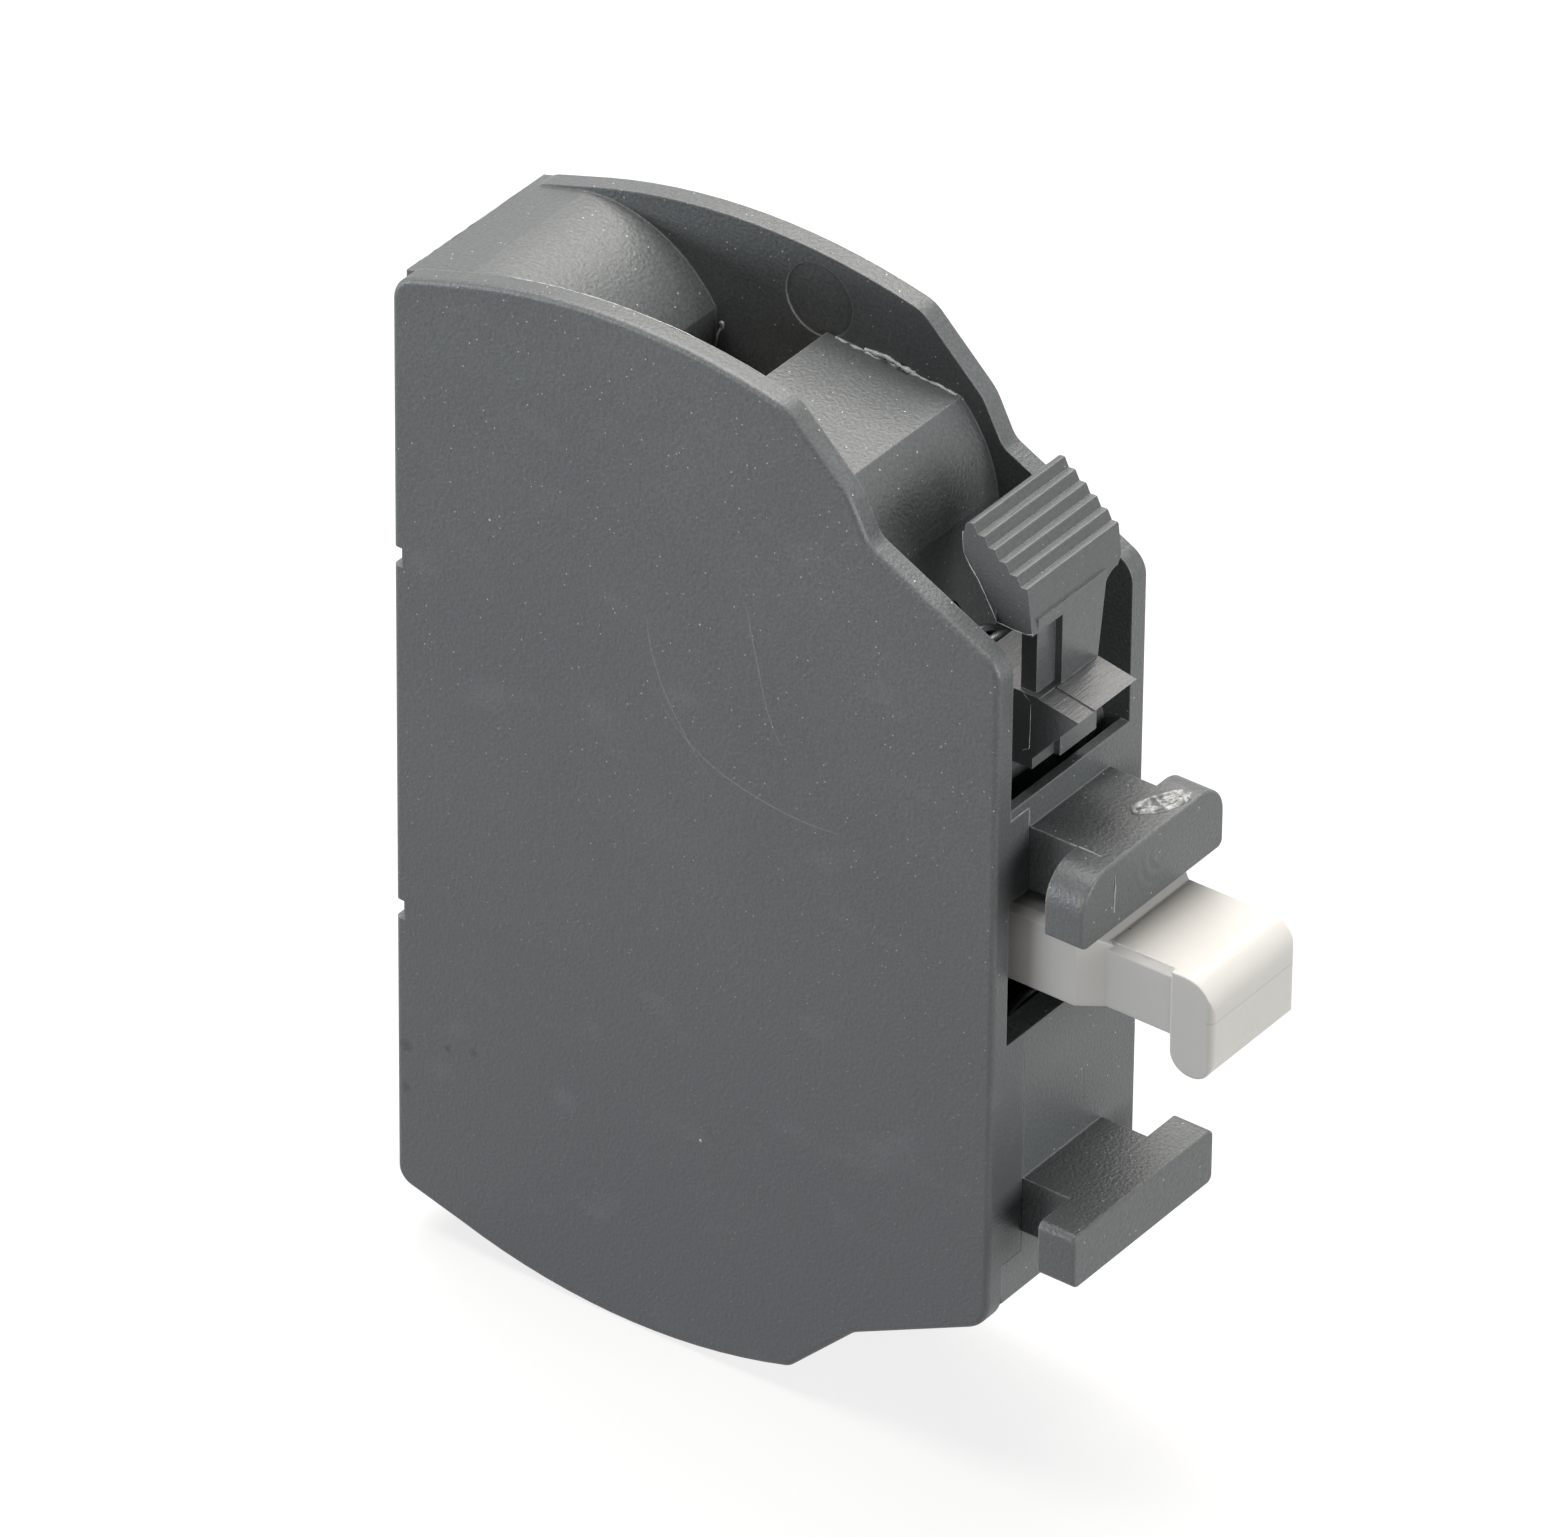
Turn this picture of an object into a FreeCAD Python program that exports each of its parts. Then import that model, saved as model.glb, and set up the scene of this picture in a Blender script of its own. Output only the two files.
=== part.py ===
import FreeCAD, Part
import math
import os
import Sketcher

# Auxiliary contact block, 10 mm wide, that hooks onto the front of a contactor.
# Frame: the origin lies on the rear face, half way up and half way across.
# +X points to the removable side cover, +Y to the contactor behind, +Z up.
# Lengths are in millimetres. "Forward" is a distance from the rear face towards -Y,
# "drop" is a distance below the middle of the block.

DIMENSIONS = {
    # casing
    "block_width": 10.0,
    "side_wall": 0.99,
    "casing_depth": 30.0,
    "front_wall": 1.8,
    "rear_wall": 1.2,
    "inner_wall": 1.2,
    "cover_rim_radius": 0.25,
    "housing_rim_radius": 0.12,
    # outline of the two side plates, upper half
    "rear_top_height": 15.14,
    "saddle_forward": 6.45,
    "saddle_rise": 3.24,
    "flank_run": 0.95,
    "flank_rise": 1.86,
    "shoulder_run": 3.05,
    "shoulder_rise": 2.92,
    "crown_radius": 30.0,
    "crown_start_setback": 3.4,
    "crown_start_fall": 0.33,
    "front_top_fall": 1.08,
    # outline of the two side plates, lower half
    "rear_bottom_drop": 16.65,
    "lower_flank_forward": 6.7,
    "lower_flank_fall": 3.27,
    "heel_run": 3.2,
    "heel_fall": 3.1,
    "keel_radius": 28.0,
    "keel_start_setback": 3.3,
    "keel_start_fall": 0.07,
    "front_bottom_rise": 0.9,
    # rounded corners of the plates
    "front_top_radius": 1.3,
    "front_bottom_radius": 0.9,
    "shoulder_radius": 1.6,
    "flank_radius": 2.2,
    "saddle_radius": 0.9,
    "rear_top_radius": 1.2,
    "rear_bottom_radius": 1.7,
    "heel_radius": 0.9,
    "lower_flank_radius": 1.4,
    # marker grooves across the front face
    "groove_height": 8.6,
    "groove_width": 0.9,
    "groove_depth": 0.45,
    # walls between the plates
    "roof_front_height": 21.65,
    "roof_rise": 0.8,
    "roof_setback": 2.9,
    "roof_radius": 6.5,
    "roof_drop": 3.0,
    "guide_depth": 9.4,
    "terminal_height": 14.6,
    "terminal_floor": 4.2,
    "block_top_height": 20.4,
    "block_top_fall": 0.45,
    "block_rear_forward": 6.6,
    "block_shoulder": 1.9,
    "block_rear_height": 16.1,
    "block_rear_radius": 6.5,
    "pocket_floor": 5.6,
    "ledge_height": 7.9,
    "lip_thickness": 0.45,
    "lip_depth": 1.0,
    "heel_wall_inset": 0.64,
    # actuator window in the rear wall
    "window_top": 3.5,
    "window_drop": 3.4,
    # return flange of the side cover, let into the rear wall
    "flange_width": 1.26,
    "flange_top": 7.45,
    "flange_drop": 14.1,
    "flange_gap": 0.03,
    # hooks on the rear face
    "hook_stem_width": 5.4,
    "hook_bar_width": 9.56,
    "upper_hook_top": 6.5,
    "upper_hook_height": 2.95,
    "upper_bar_extra": 0.25,
    "upper_bar_gap": 2.3,
    "upper_bar_thickness": 1.85,
    "upper_bar_far_radius": 1.5,
    "upper_bar_near_radius": 1.6,
    "lower_hook_top_drop": 10.55,
    "lower_hook_height": 2.58,
    "lower_bar_gap": 2.3,
    "lower_bar_thickness": 1.8,
    "bar_edge_radius": 0.35,
    "moulded_edge": 0.12,
    "ejector_forward": 15.5,
    "ejector_height": 21.75,
    "ejector_radius": 1.65,
    "ejector_depth": 0.06,
    # screw terminals
    "access_radius": 3.15,
    "access_depth": 5.4,
    "head_radius": 2.75,
    "head_height": 2.2,
    "head_clearance": 0.2,
    "screw_radius": 1.72,
    "thread_clearance": 0.05,
    "hole_clearance": 0.25,
    "slot_width": 0.8,
    "slot_depth": 1.1,
    "wire_space": 4.7,
    "strip_thickness": 0.8,
    "strip_side_gap": 0.7,
    "strip_top": 3.0,
    "leg_width": 4.0,
    "leg_clearance": 0.08,
    "nut_width": 5.5,
    "nut_thickness": 2.2,
    "nut_clearance": 0.1,
    "clamp_thickness": 1.0,
    "clamp_side_gap": 0.9,
    "clamp_height": 5.4,
    "clamp_lip": 0.6,
    "clamp_seat_gap": 0.1,
    "clamp_travel": 1.5,
    "washer_thickness": 0.6,
    "washer_radius": 2.5,
    "washer_split": 0.5,
    # contacts
    "contact_height": 6.0,
    "tip_radius": 1.25,
    "tip_thickness": 0.6,
    "tip_edge_radius": 0.2,
    "contact_gap": 3.0,
    "bridge_thickness": 0.8,
    "bridge_width": 3.2,
    "bridge_waist": 2.2,
    "bridge_end": 1.5,
    "leg_end": 1.4,
    # actuator slider
    "slide_clearance": 0.1,
    "carriage_half_height": 3.0,
    "carriage_bar": 1.6,
    "carriage_window_gap": 0.15,
    "stop_gap": 0.05,
    "stem_side_gap": 0.5,
    "stem_top": 3.05,
    "stem_drop": 0.45,
    "stem_reach": 2.9,
    "stem_taper": 1.0,
    "neck_step": 0.7,
    "neck_top": 2.59,
    "neck_drop": 0.42,
    "neck_chamfer": 0.3,
    "nose_reach": 9.1,
    "nose_depth": 2.0,
    "nose_drop": 2.05,
    "nose_side_step": 0.06,
    "nose_top_radius": 1.35,
    "nose_bottom_radius": 0.95,
    "nose_corner_radius": 0.3,
    "spring_lug_thickness": 1.2,
    "spring_lug_half_width": 2.4,
    "spring_lug_setback": 0.8,
    "spring_axis_drop": 5.7,
    "rail_depth": 0.7,
    "rail_height": 1.0,
    "rail_length": 15.0,
    # springs
    "return_spring_radius": 1.85,
    "return_spring_wire": 0.25,
    "return_spring_turns": 7.0,
    "bridge_spring_radius": 1.3,
    "bridge_spring_wire": 0.25,
    "bridge_spring_turns": 4.0,
    "latch_spring_radius": 1.25,
    "latch_spring_wire": 0.25,
    "latch_spring_turns": 3.5,
    "spring_peg_gap": 0.25,
    "spring_peg_length": 1.2,
    # release latch
    "pad_near_reach": 3.25,
    "pad_far_reach": 2.85,
    "pad_far_taper": 0.3,
    "ridge_top_forward": 2.6,
    "ridge_top_height": 20.05,
    "pad_brow_flat": 0.35,
    "pad_brow_fall": 0.06,
    "pad_brow_radius": 0.25,
    "ridge_pitch_back": 0.53,
    "ridge_pitch_drop": 0.41,
    "ridge_radius": 0.1,
    "tread_depth": 0.32,
    "tread_fall": 0.02,
    "pad_rear_reach": 0.32,
    "pad_bottom_height": 15.9,
    "pad_front_forward": 3.2,
    "pad_front_height": 18.8,
    "pad_waist_forward": 1.5,
    "pad_waist_height": 16.6,
    "pad_foot_forward": 1.15,
    "pad_front_radius": 0.8,
    "shoulder_drop": 0.35,
    "arm_shoulder_radius": 1.1,
    "arm_overlap": 0.6,
    "arm_root_radius": 0.45,
    "arm_far_reach": 1.25,
    "arm_far_top_reach": 1.7,
    "arm_near_reach": 2.4,
    "arm_face_near_reach": 1.2,
    "arm_recess": 0.35,
    "arm_thickness": 1.1,
    "wedge_top_height": 12.66,
    "wedge_tip_height": 12.3,
    "wedge_reach": 2.23,
    "wedge_bottom_height": 9.7,
    "wedge_step": 0.06,
    "wedge_step_reach": 1.55,
    "foot_near_reach": 2.62,
    "foot_bottom_height": 9.2,
    "foot_forward": 3.4,
    "tail_half_width": 1.5,
    "tail_thickness": 2.0,
    "pivot_forward": 2.75,
    "pivot_height": 7.4,
    "pivot_radius": 0.8,
    "pivot_clearance": 0.06,
    "pivot_boss_radius": 1.5,
    "pivot_boss_length": 1.2,
    "latch_spring_height": 11.2,
    "latch_seat_floor": 0.2,
    # pegs that locate the side cover
    "peg_radius": 0.7,
    "peg_length": 1.4,
    "peg_clearance": 0.04,
    "front_peg_setback": 2.6,
    "front_peg_height": 20.45,
    "rear_peg_forward": 9.8,
    "rear_peg_height": 18.75,
}
RIDGE_COUNT = 6
TOUCHING = 0.001

document = FreeCAD.newDocument("auxiliary_contact_block")
sheet = document.addObject("Spreadsheet::Sheet", "Dimensions")
for row, (alias, number) in enumerate(DIMENSIONS.items(), start=1):
    sheet.set("A%d" % row, alias)
    sheet.set("B%d" % row, str(number))
    sheet.setAlias("B%d" % row, alias)
document.recompute()


class Size:
    """A length that carries its value and the formula that ties it to the sheet."""

    def __init__(self, value, formula):
        self.value = value
        self.formula = formula

    def __add__(self, other):
        return combine(self, "+", other)

    def __radd__(self, other):
        return combine(other, "+", self)

    def __sub__(self, other):
        return combine(self, "-", other)

    def __rsub__(self, other):
        return combine(other, "-", self)

    def __mul__(self, other):
        return combine(self, "*", other)

    def __rmul__(self, other):
        return combine(other, "*", self)

    def __truediv__(self, other):
        return combine(self, "/", other)

    def __neg__(self):
        return combine(-1, "*", self)


def as_size(thing):
    if isinstance(thing, Size):
        return thing
    return Size(float(thing), "(%s)" % repr(float(thing)))


def combine(left, sign, right):
    first = as_size(left)
    second = as_size(right)
    if sign == "+":
        value = first.value + second.value
    elif sign == "-":
        value = first.value - second.value
    elif sign == "*":
        value = first.value * second.value
    else:
        value = first.value / second.value
    return Size(value, "(%s %s %s)" % (first.formula, sign, second.formula))


def size(alias):
    return Size(DIMENSIONS[alias], "Dimensions.%s" % alias)


# Places that several pieces share.

NONE = as_size(0)
HALF_WIDTH = size("block_width") / 2
INNER_HALF = HALF_WIDTH - size("side_wall")
FRONT_FACE = -size("casing_depth")
FRONT_INNER = FRONT_FACE + size("front_wall")
REAR_INNER = -size("rear_wall")
GUIDE_REAR = FRONT_FACE + size("guide_depth")
STRIP_FRONT = GUIDE_REAR + size("wire_space")
STRIP_REAR = STRIP_FRONT + size("strip_thickness")
NUT_REAR = STRIP_REAR + size("nut_thickness")
CORE_FRONT = NUT_REAR + size("nut_clearance") + size("inner_wall")
CORE_REAR = -size("block_rear_forward") - size("inner_wall")
BLOCK_REAR = -size("block_rear_forward")
FLOOR = size("terminal_height") - size("terminal_floor")
CHAMBER_TOP = FLOOR - size("inner_wall")
FIXED_TIP_FRONT = STRIP_FRONT - size("tip_thickness")
MOVING_TIP_REAR = FIXED_TIP_FRONT - size("contact_gap")
BRIDGE_REAR = MOVING_TIP_REAR - size("tip_thickness")
BRIDGE_FRONT = BRIDGE_REAR - size("bridge_thickness")
CARRIAGE_FRONT = FRONT_INNER + size("stop_gap")
CARRIAGE_SPRING_SEAT = CARRIAGE_FRONT + size("carriage_bar")
CARRIAGE_REAR = BRIDGE_REAR + size("carriage_bar")
LUG_FRONT = STRIP_REAR + size("spring_lug_setback")
LUG_REAR = LUG_FRONT + size("spring_lug_thickness")
SPRING_AXIS = -size("spring_axis_drop")
FLANGE_EDGE = INNER_HALF - size("flange_width")
PEG_PLACES = (
    (FRONT_FACE + size("front_peg_setback"), size("front_peg_height")),
    (FRONT_FACE + size("front_peg_setback"), -size("front_peg_height")),
    (-size("rear_peg_forward"), size("rear_peg_height")),
    (-size("rear_peg_forward"), -size("rear_peg_height")),
)

# How each plane's normal points along its row axis, and that axis's index.

NORMAL_SIGN = {"YZ_Plane": 1, "XZ_Plane": -1, "XY_Plane": 1}


def bind(thing, path, amount):
    thing.setExpression(path, as_size(amount).formula)


def new_body(label):
    body = document.addObject("PartDesign::Body", label)
    body.Label = label
    return body


def new_sketch(body, plane, name, level):
    """A sketch parallel to one of the body's origin planes, at a level along its axis."""
    sketch = body.newObject("Sketcher::SketchObject", name)
    support = [f for f in body.Origin.OriginFeatures if f.Role == plane][0]
    sketch.AttachmentSupport = [(support, "")]
    sketch.MapMode = "FlatFace"
    offset = as_size(level) * NORMAL_SIGN[plane]
    sketch.AttachmentOffset = FreeCAD.Placement(
        FreeCAD.Vector(0, 0, offset.value), FreeCAD.Rotation()
    )
    bind(sketch, ".AttachmentOffset.Base.z", offset)
    return sketch


def bind_constraint(sketch, kind, references, amount):
    index = sketch.addConstraint(Sketcher.Constraint(kind, *references, amount.value))
    sketch.setExpression("Constraints[%d]" % index, amount.formula)


def add_loop(sketch, stations):
    """A closed outline. A station is (x, y), or (x, y, radius) where an arc starts.

    The outline runs anticlockwise. An arc bulges outwards, or inwards if its radius is negative."""
    ends = []
    count = len(stations)
    for index, station in enumerate(stations):
        start = flat_point(station)
        stop = flat_point(stations[(index + 1) % count])
        if len(station) == 3:
            ends.append(add_arc(sketch, start, stop, as_size(station[2])))
        else:
            edge = sketch.addGeometry(Part.LineSegment(start, stop), False)
            ends.append((edge, 1, 2))
    for index, station in enumerate(stations):
        edge, first, last = ends[index]
        following = ends[(index + 1) % count]
        sketch.addConstraint(
            Sketcher.Constraint("Coincident", edge, last, following[0], following[1])
        )
        bind_constraint(sketch, "DistanceX", (-1, 1, edge, first), as_size(station[0]))
        bind_constraint(sketch, "DistanceY", (-1, 1, edge, first), as_size(station[1]))


def flat_point(station):
    return FreeCAD.Vector(as_size(station[0]).value, as_size(station[1]).value, 0)


def add_arc(sketch, start, stop, radius):
    if radius.value < 0:
        edge, first, last = add_arc(sketch, stop, start, -radius)
        return (edge, last, first)
    chord = stop - start
    across = FreeCAD.Vector(-chord.y, chord.x, 0).normalize()
    depth = math.sqrt(radius.value ** 2 - (chord.Length / 2) ** 2)
    centre = (start + stop) / 2 + across * depth
    first = math.atan2(start.y - centre.y, start.x - centre.x)
    last = math.atan2(stop.y - centre.y, stop.x - centre.x)
    if last < first:
        last += 2 * math.pi
    circle = Part.Circle(centre, FreeCAD.Vector(0, 0, 1), radius.value)
    edge = sketch.addGeometry(Part.ArcOfCircle(circle, first, last), False)
    bind_constraint(sketch, "Radius", (edge,), radius)
    return (edge, 1, 2)


def add_rectangle(sketch, left, right, bottom, top):
    add_loop(sketch, [(left, bottom), (right, bottom), (right, top), (left, top)])


def add_circle(sketch, across, up, radius):
    centre = flat_point((across, up))
    circle = Part.Circle(centre, FreeCAD.Vector(0, 0, 1), as_size(radius).value)
    edge = sketch.addGeometry(circle, False)
    bind_constraint(sketch, "DistanceX", (-1, 1, edge, 3), as_size(across))
    bind_constraint(sketch, "DistanceY", (-1, 1, edge, 3), as_size(up))
    bind_constraint(sketch, "Radius", (edge,), as_size(radius))


def finish_feature(body, feature, sketch):
    sketch.Visibility = False
    body.Tip = feature
    document.recompute()
    return feature


def pad(body, sketch, length, towards):
    """Adds the sketch's area, drawn out along its axis: towards is 1 or -1."""
    feature = body.newObject("PartDesign::Pad", sketch.Name + "_pad")
    feature.Profile = sketch
    feature.Reversed = towards * NORMAL_SIGN[sketch_plane(sketch)] < 0
    bind(feature, "Length", length)
    return finish_feature(body, feature, sketch)


def pocket(body, sketch, length, towards):
    """Cuts the sketch's area along its axis, and makes sure that it took something away."""
    before = body.Shape.Volume
    feature = body.newObject("PartDesign::Pocket", sketch.Name + "_cut")
    feature.Profile = sketch
    feature.Reversed = towards * NORMAL_SIGN[sketch_plane(sketch)] > 0
    bind(feature, "Length", length)
    finish_feature(body, feature, sketch)
    if feature.Shape.Volume >= before:
        raise RuntimeError(feature.Name + " cuts nothing")
    return feature


def sketch_plane(sketch):
    return sketch.AttachmentSupport[0][0].Role


def round_edges(body, name, radius, chosen):
    """Rounds the edges of the body's last shape that the test picks."""
    base = body.Tip
    edges = ["Edge%d" % (n + 1) for n, edge in enumerate(base.Shape.Edges) if chosen(edge)]
    feature = body.newObject("PartDesign::Fillet", name)
    feature.Base = (base, edges)
    bind(feature, "Radius", radius)
    body.Tip = feature
    document.recompute()
    return feature


def chamfer_edges(body, name, width, chosen):
    base = body.Tip
    edges = ["Edge%d" % (n + 1) for n, edge in enumerate(base.Shape.Edges) if chosen(edge)]
    feature = body.newObject("PartDesign::Chamfer", name)
    feature.Base = (base, edges)
    bind(feature, "Size", width)
    body.Tip = feature
    document.recompute()
    return feature


def along_x_at(across, up):
    """A test for the edges that run along X through this Y and Z."""
    wanted = (as_size(across).value, as_size(up).value)

    def chosen(edge):
        return all(
            abs(vertex.Y - wanted[0]) < 0.01 and abs(vertex.Z - wanted[1]) < 0.01
            for vertex in edge.Vertexes
        )

    return chosen


def along_y_at(across, up):
    """A test for the edges that run along Y through this X and Z."""
    wanted = (as_size(across).value, as_size(up).value)

    def chosen(edge):
        return all(
            abs(vertex.X - wanted[0]) < 0.01 and abs(vertex.Z - wanted[1]) < 0.01
            for vertex in edge.Vertexes
        )

    return chosen


def lies_at_x(level):
    place = as_size(level).value

    def chosen(edge):
        return all(abs(vertex.X - place) < 0.01 for vertex in edge.Vertexes)

    return chosen


def lies_at_y(level):
    place = as_size(level).value

    def chosen(edge):
        return all(abs(vertex.Y - place) < 0.01 for vertex in edge.Vertexes)

    return chosen


# The two side plates share one outline, a flattened ellipse with a stepped rear flank.


SADDLE = (-size("saddle_forward"), size("rear_top_height") + size("saddle_rise"))
FLANK = (SADDLE[0] - size("flank_run"), SADDLE[1] + size("flank_rise"))
SHOULDER = (FLANK[0] - size("shoulder_run"), FLANK[1] + size("shoulder_rise"))
CROWN_START = (
    FRONT_FACE + size("crown_start_setback"),
    SHOULDER[1] - size("crown_start_fall"),
)
FRONT_TOP = (FRONT_FACE, CROWN_START[1] - size("front_top_fall"))
REAR_TOP = (NONE, size("rear_top_height"))
REAR_BOTTOM = (NONE, -size("rear_bottom_drop"))
LOWER_FLANK = (-size("lower_flank_forward"), REAR_BOTTOM[1] - size("lower_flank_fall"))
HEEL = (LOWER_FLANK[0] - size("heel_run"), LOWER_FLANK[1] - size("heel_fall"))
KEEL_START = (
    FRONT_FACE + size("keel_start_setback"),
    HEEL[1] - size("keel_start_fall"),
)
FRONT_BOTTOM = (FRONT_FACE, KEEL_START[1] + size("front_bottom_rise"))


def plate_outline():
    return [
        FRONT_BOTTOM,
        (*KEEL_START, size("keel_radius")),
        HEEL,
        LOWER_FLANK,
        REAR_BOTTOM,
        REAR_TOP,
        SADDLE,
        FLANK,
        (*SHOULDER, size("crown_radius")),
        CROWN_START,
        FRONT_TOP,
    ]


def plate_corners():
    return (
        ("front_bottom", FRONT_BOTTOM, "front_bottom_radius"),
        ("front_top", FRONT_TOP, "front_top_radius"),
        ("heel", HEEL, "heel_radius"),
        ("lower_flank", LOWER_FLANK, "lower_flank_radius"),
        ("rear_bottom", REAR_BOTTOM, "rear_bottom_radius"),
        ("rear_top", REAR_TOP, "rear_top_radius"),
        ("saddle", SADDLE, "saddle_radius"),
        ("flank", FLANK, "flank_radius"),
        ("shoulder", SHOULDER, "shoulder_radius"),
    )


def build_plate(body, inner_level, outer_level, towards, rim):
    """One side plate with its rounded corners and softened outer rim."""
    sketch = new_sketch(body, "YZ_Plane", body.Name + "_plate", inner_level)
    add_loop(sketch, plate_outline())
    pad(body, sketch, size("side_wall"), towards)
    for name, place, radius in plate_corners():
        round_edges(body, body.Name + "_" + name, size(radius), along_x_at(*place))
    round_edges(body, body.Name + "_rim", rim, lies_at_x(outer_level))


def add_grooves(body, inner_level, length, towards):
    """The two marker grooves that cross the front face."""
    sketch = new_sketch(body, "YZ_Plane", body.Name + "_grooves", inner_level)
    for height in (size("groove_height"), -size("groove_height")):
        add_rectangle(
            sketch,
            FRONT_FACE - size("groove_depth"),
            FRONT_FACE + size("groove_depth"),
            height - size("groove_width") / 2,
            height + size("groove_width") / 2,
        )
    pocket(body, sketch, length, towards)


def add_rails(body, towards):
    """Two ribs on a plate's inner face, between which the slider's carriage runs."""
    level = -INNER_HALF * towards
    sketch = new_sketch(body, "YZ_Plane", body.Name + "_rails", level)
    inner = size("carriage_half_height") + size("slide_clearance")
    outer = inner + size("rail_height")
    stop = FRONT_INNER + size("rail_length")
    add_rectangle(sketch, FRONT_INNER, stop, inner, outer)
    add_rectangle(sketch, FRONT_INNER, stop, -outer, -inner)
    pad(body, sketch, size("rail_depth"), towards)


def add_pivot_boss(body, towards):
    """The bearing of the latch's trunnion on a plate's inner face."""
    level = -INNER_HALF * towards
    boss = new_sketch(body, "YZ_Plane", body.Name + "_pivot_boss", level)
    add_circle(boss, -size("pivot_forward"), size("pivot_height"), size("pivot_boss_radius"))
    pad(body, boss, size("pivot_boss_length"), towards)
    hole = new_sketch(body, "YZ_Plane", body.Name + "_pivot_hole", level)
    add_circle(
        hole,
        -size("pivot_forward"),
        size("pivot_height"),
        size("pivot_radius") + size("pivot_clearance"),
    )
    pocket(body, hole, size("pivot_boss_length"), towards)


# Housing: the far plate with every wall of the block, the hooks and the guides in one moulding.


def wall_outline():
    """The walls seen from the side, from the lower front corner round to the upper one."""
    roof_end = size("roof_front_height") + size("roof_rise")
    roof_back = FRONT_FACE + size("roof_setback")
    guide_end = roof_end - size("roof_drop")
    block_edge = BLOCK_REAR - size("block_shoulder")
    block_low = size("block_top_height") - size("block_top_fall")
    return [
        (FRONT_FACE, -size("roof_front_height")),
        (roof_back, -roof_end, size("roof_radius")),
        (GUIDE_REAR, -guide_end),
        (GUIDE_REAR, -FLOOR),
        (STRIP_REAR, -FLOOR),
        (STRIP_REAR, -size("block_top_height")),
        (block_edge, -block_low),
        (LOWER_FLANK[0], LOWER_FLANK[1] + size("heel_wall_inset")),
        (NONE, REAR_BOTTOM[1] + size("heel_wall_inset")),
        (NONE, size("ledge_height")),
        (-size("lip_thickness"), size("ledge_height")),
        (-size("lip_thickness"), size("ledge_height") - size("lip_depth")),
        (REAR_INNER, size("ledge_height") - size("lip_depth")),
        (REAR_INNER, size("pocket_floor")),
        (BLOCK_REAR, size("pocket_floor")),
        (BLOCK_REAR, size("block_rear_height"), size("block_rear_radius")),
        (block_edge, block_low),
        (STRIP_REAR, size("block_top_height")),
        (STRIP_REAR, FLOOR),
        (GUIDE_REAR, FLOOR),
        (GUIDE_REAR, guide_end, size("roof_radius")),
        (roof_back, roof_end),
        (FRONT_FACE, size("roof_front_height")),
    ]


def contact_chamber():
    """The space in the middle where the slider and the contact bridge move."""
    step = size("pocket_floor") - size("inner_wall") + size("latch_seat_floor")
    block_floor = CHAMBER_TOP - 2 * size("inner_wall")
    return [
        (FRONT_INNER, -CHAMBER_TOP),
        (REAR_INNER, -CHAMBER_TOP),
        (REAR_INNER, step),
        (CORE_REAR, step),
        (CORE_REAR, block_floor),
        (STRIP_REAR + size("inner_wall"), block_floor),
        (STRIP_REAR + size("inner_wall"), CHAMBER_TOP),
        (FRONT_INNER, CHAMBER_TOP),
    ]


def upper_core():
    """The space inside the block behind the upper terminal, so that its walls are even."""
    low = CHAMBER_TOP - size("inner_wall")
    high = size("block_rear_height") + size("inner_wall")
    return [(CORE_FRONT, low), (CORE_REAR, low), (CORE_REAR, high), (CORE_FRONT, high)]


def lower_core():
    high = -FLOOR
    deep = -size("rear_peg_height") + 2 * size("inner_wall")
    return [
        (CORE_FRONT, deep),
        (LOWER_FLANK[0], deep),
        (REAR_INNER, REAR_BOTTOM[1] + 2 * size("inner_wall")),
        (REAR_INNER, high),
        (CORE_FRONT, high),
    ]


def add_hook(body, name, top, height, bar_gap, bar_thickness, bar_extra):
    """A T-shaped hook: a stem that stands on the rear face and a bar across its end."""
    near = FLANGE_EDGE - size("flange_gap")
    far = near - size("hook_stem_width")
    middle = (near + far) / 2
    stem = new_sketch(body, "XZ_Plane", name + "_stem", NONE)
    add_rectangle(stem, far, near, top - height, top)
    pad(body, stem, bar_gap + bar_thickness, 1)
    bar = new_sketch(body, "XZ_Plane", name + "_bar", bar_gap)
    half = size("hook_bar_width") / 2
    add_rectangle(bar, middle - half, middle + half, top - height - bar_extra, top)
    pad(body, bar, bar_thickness, 1)
    return middle - half, middle + half


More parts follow.
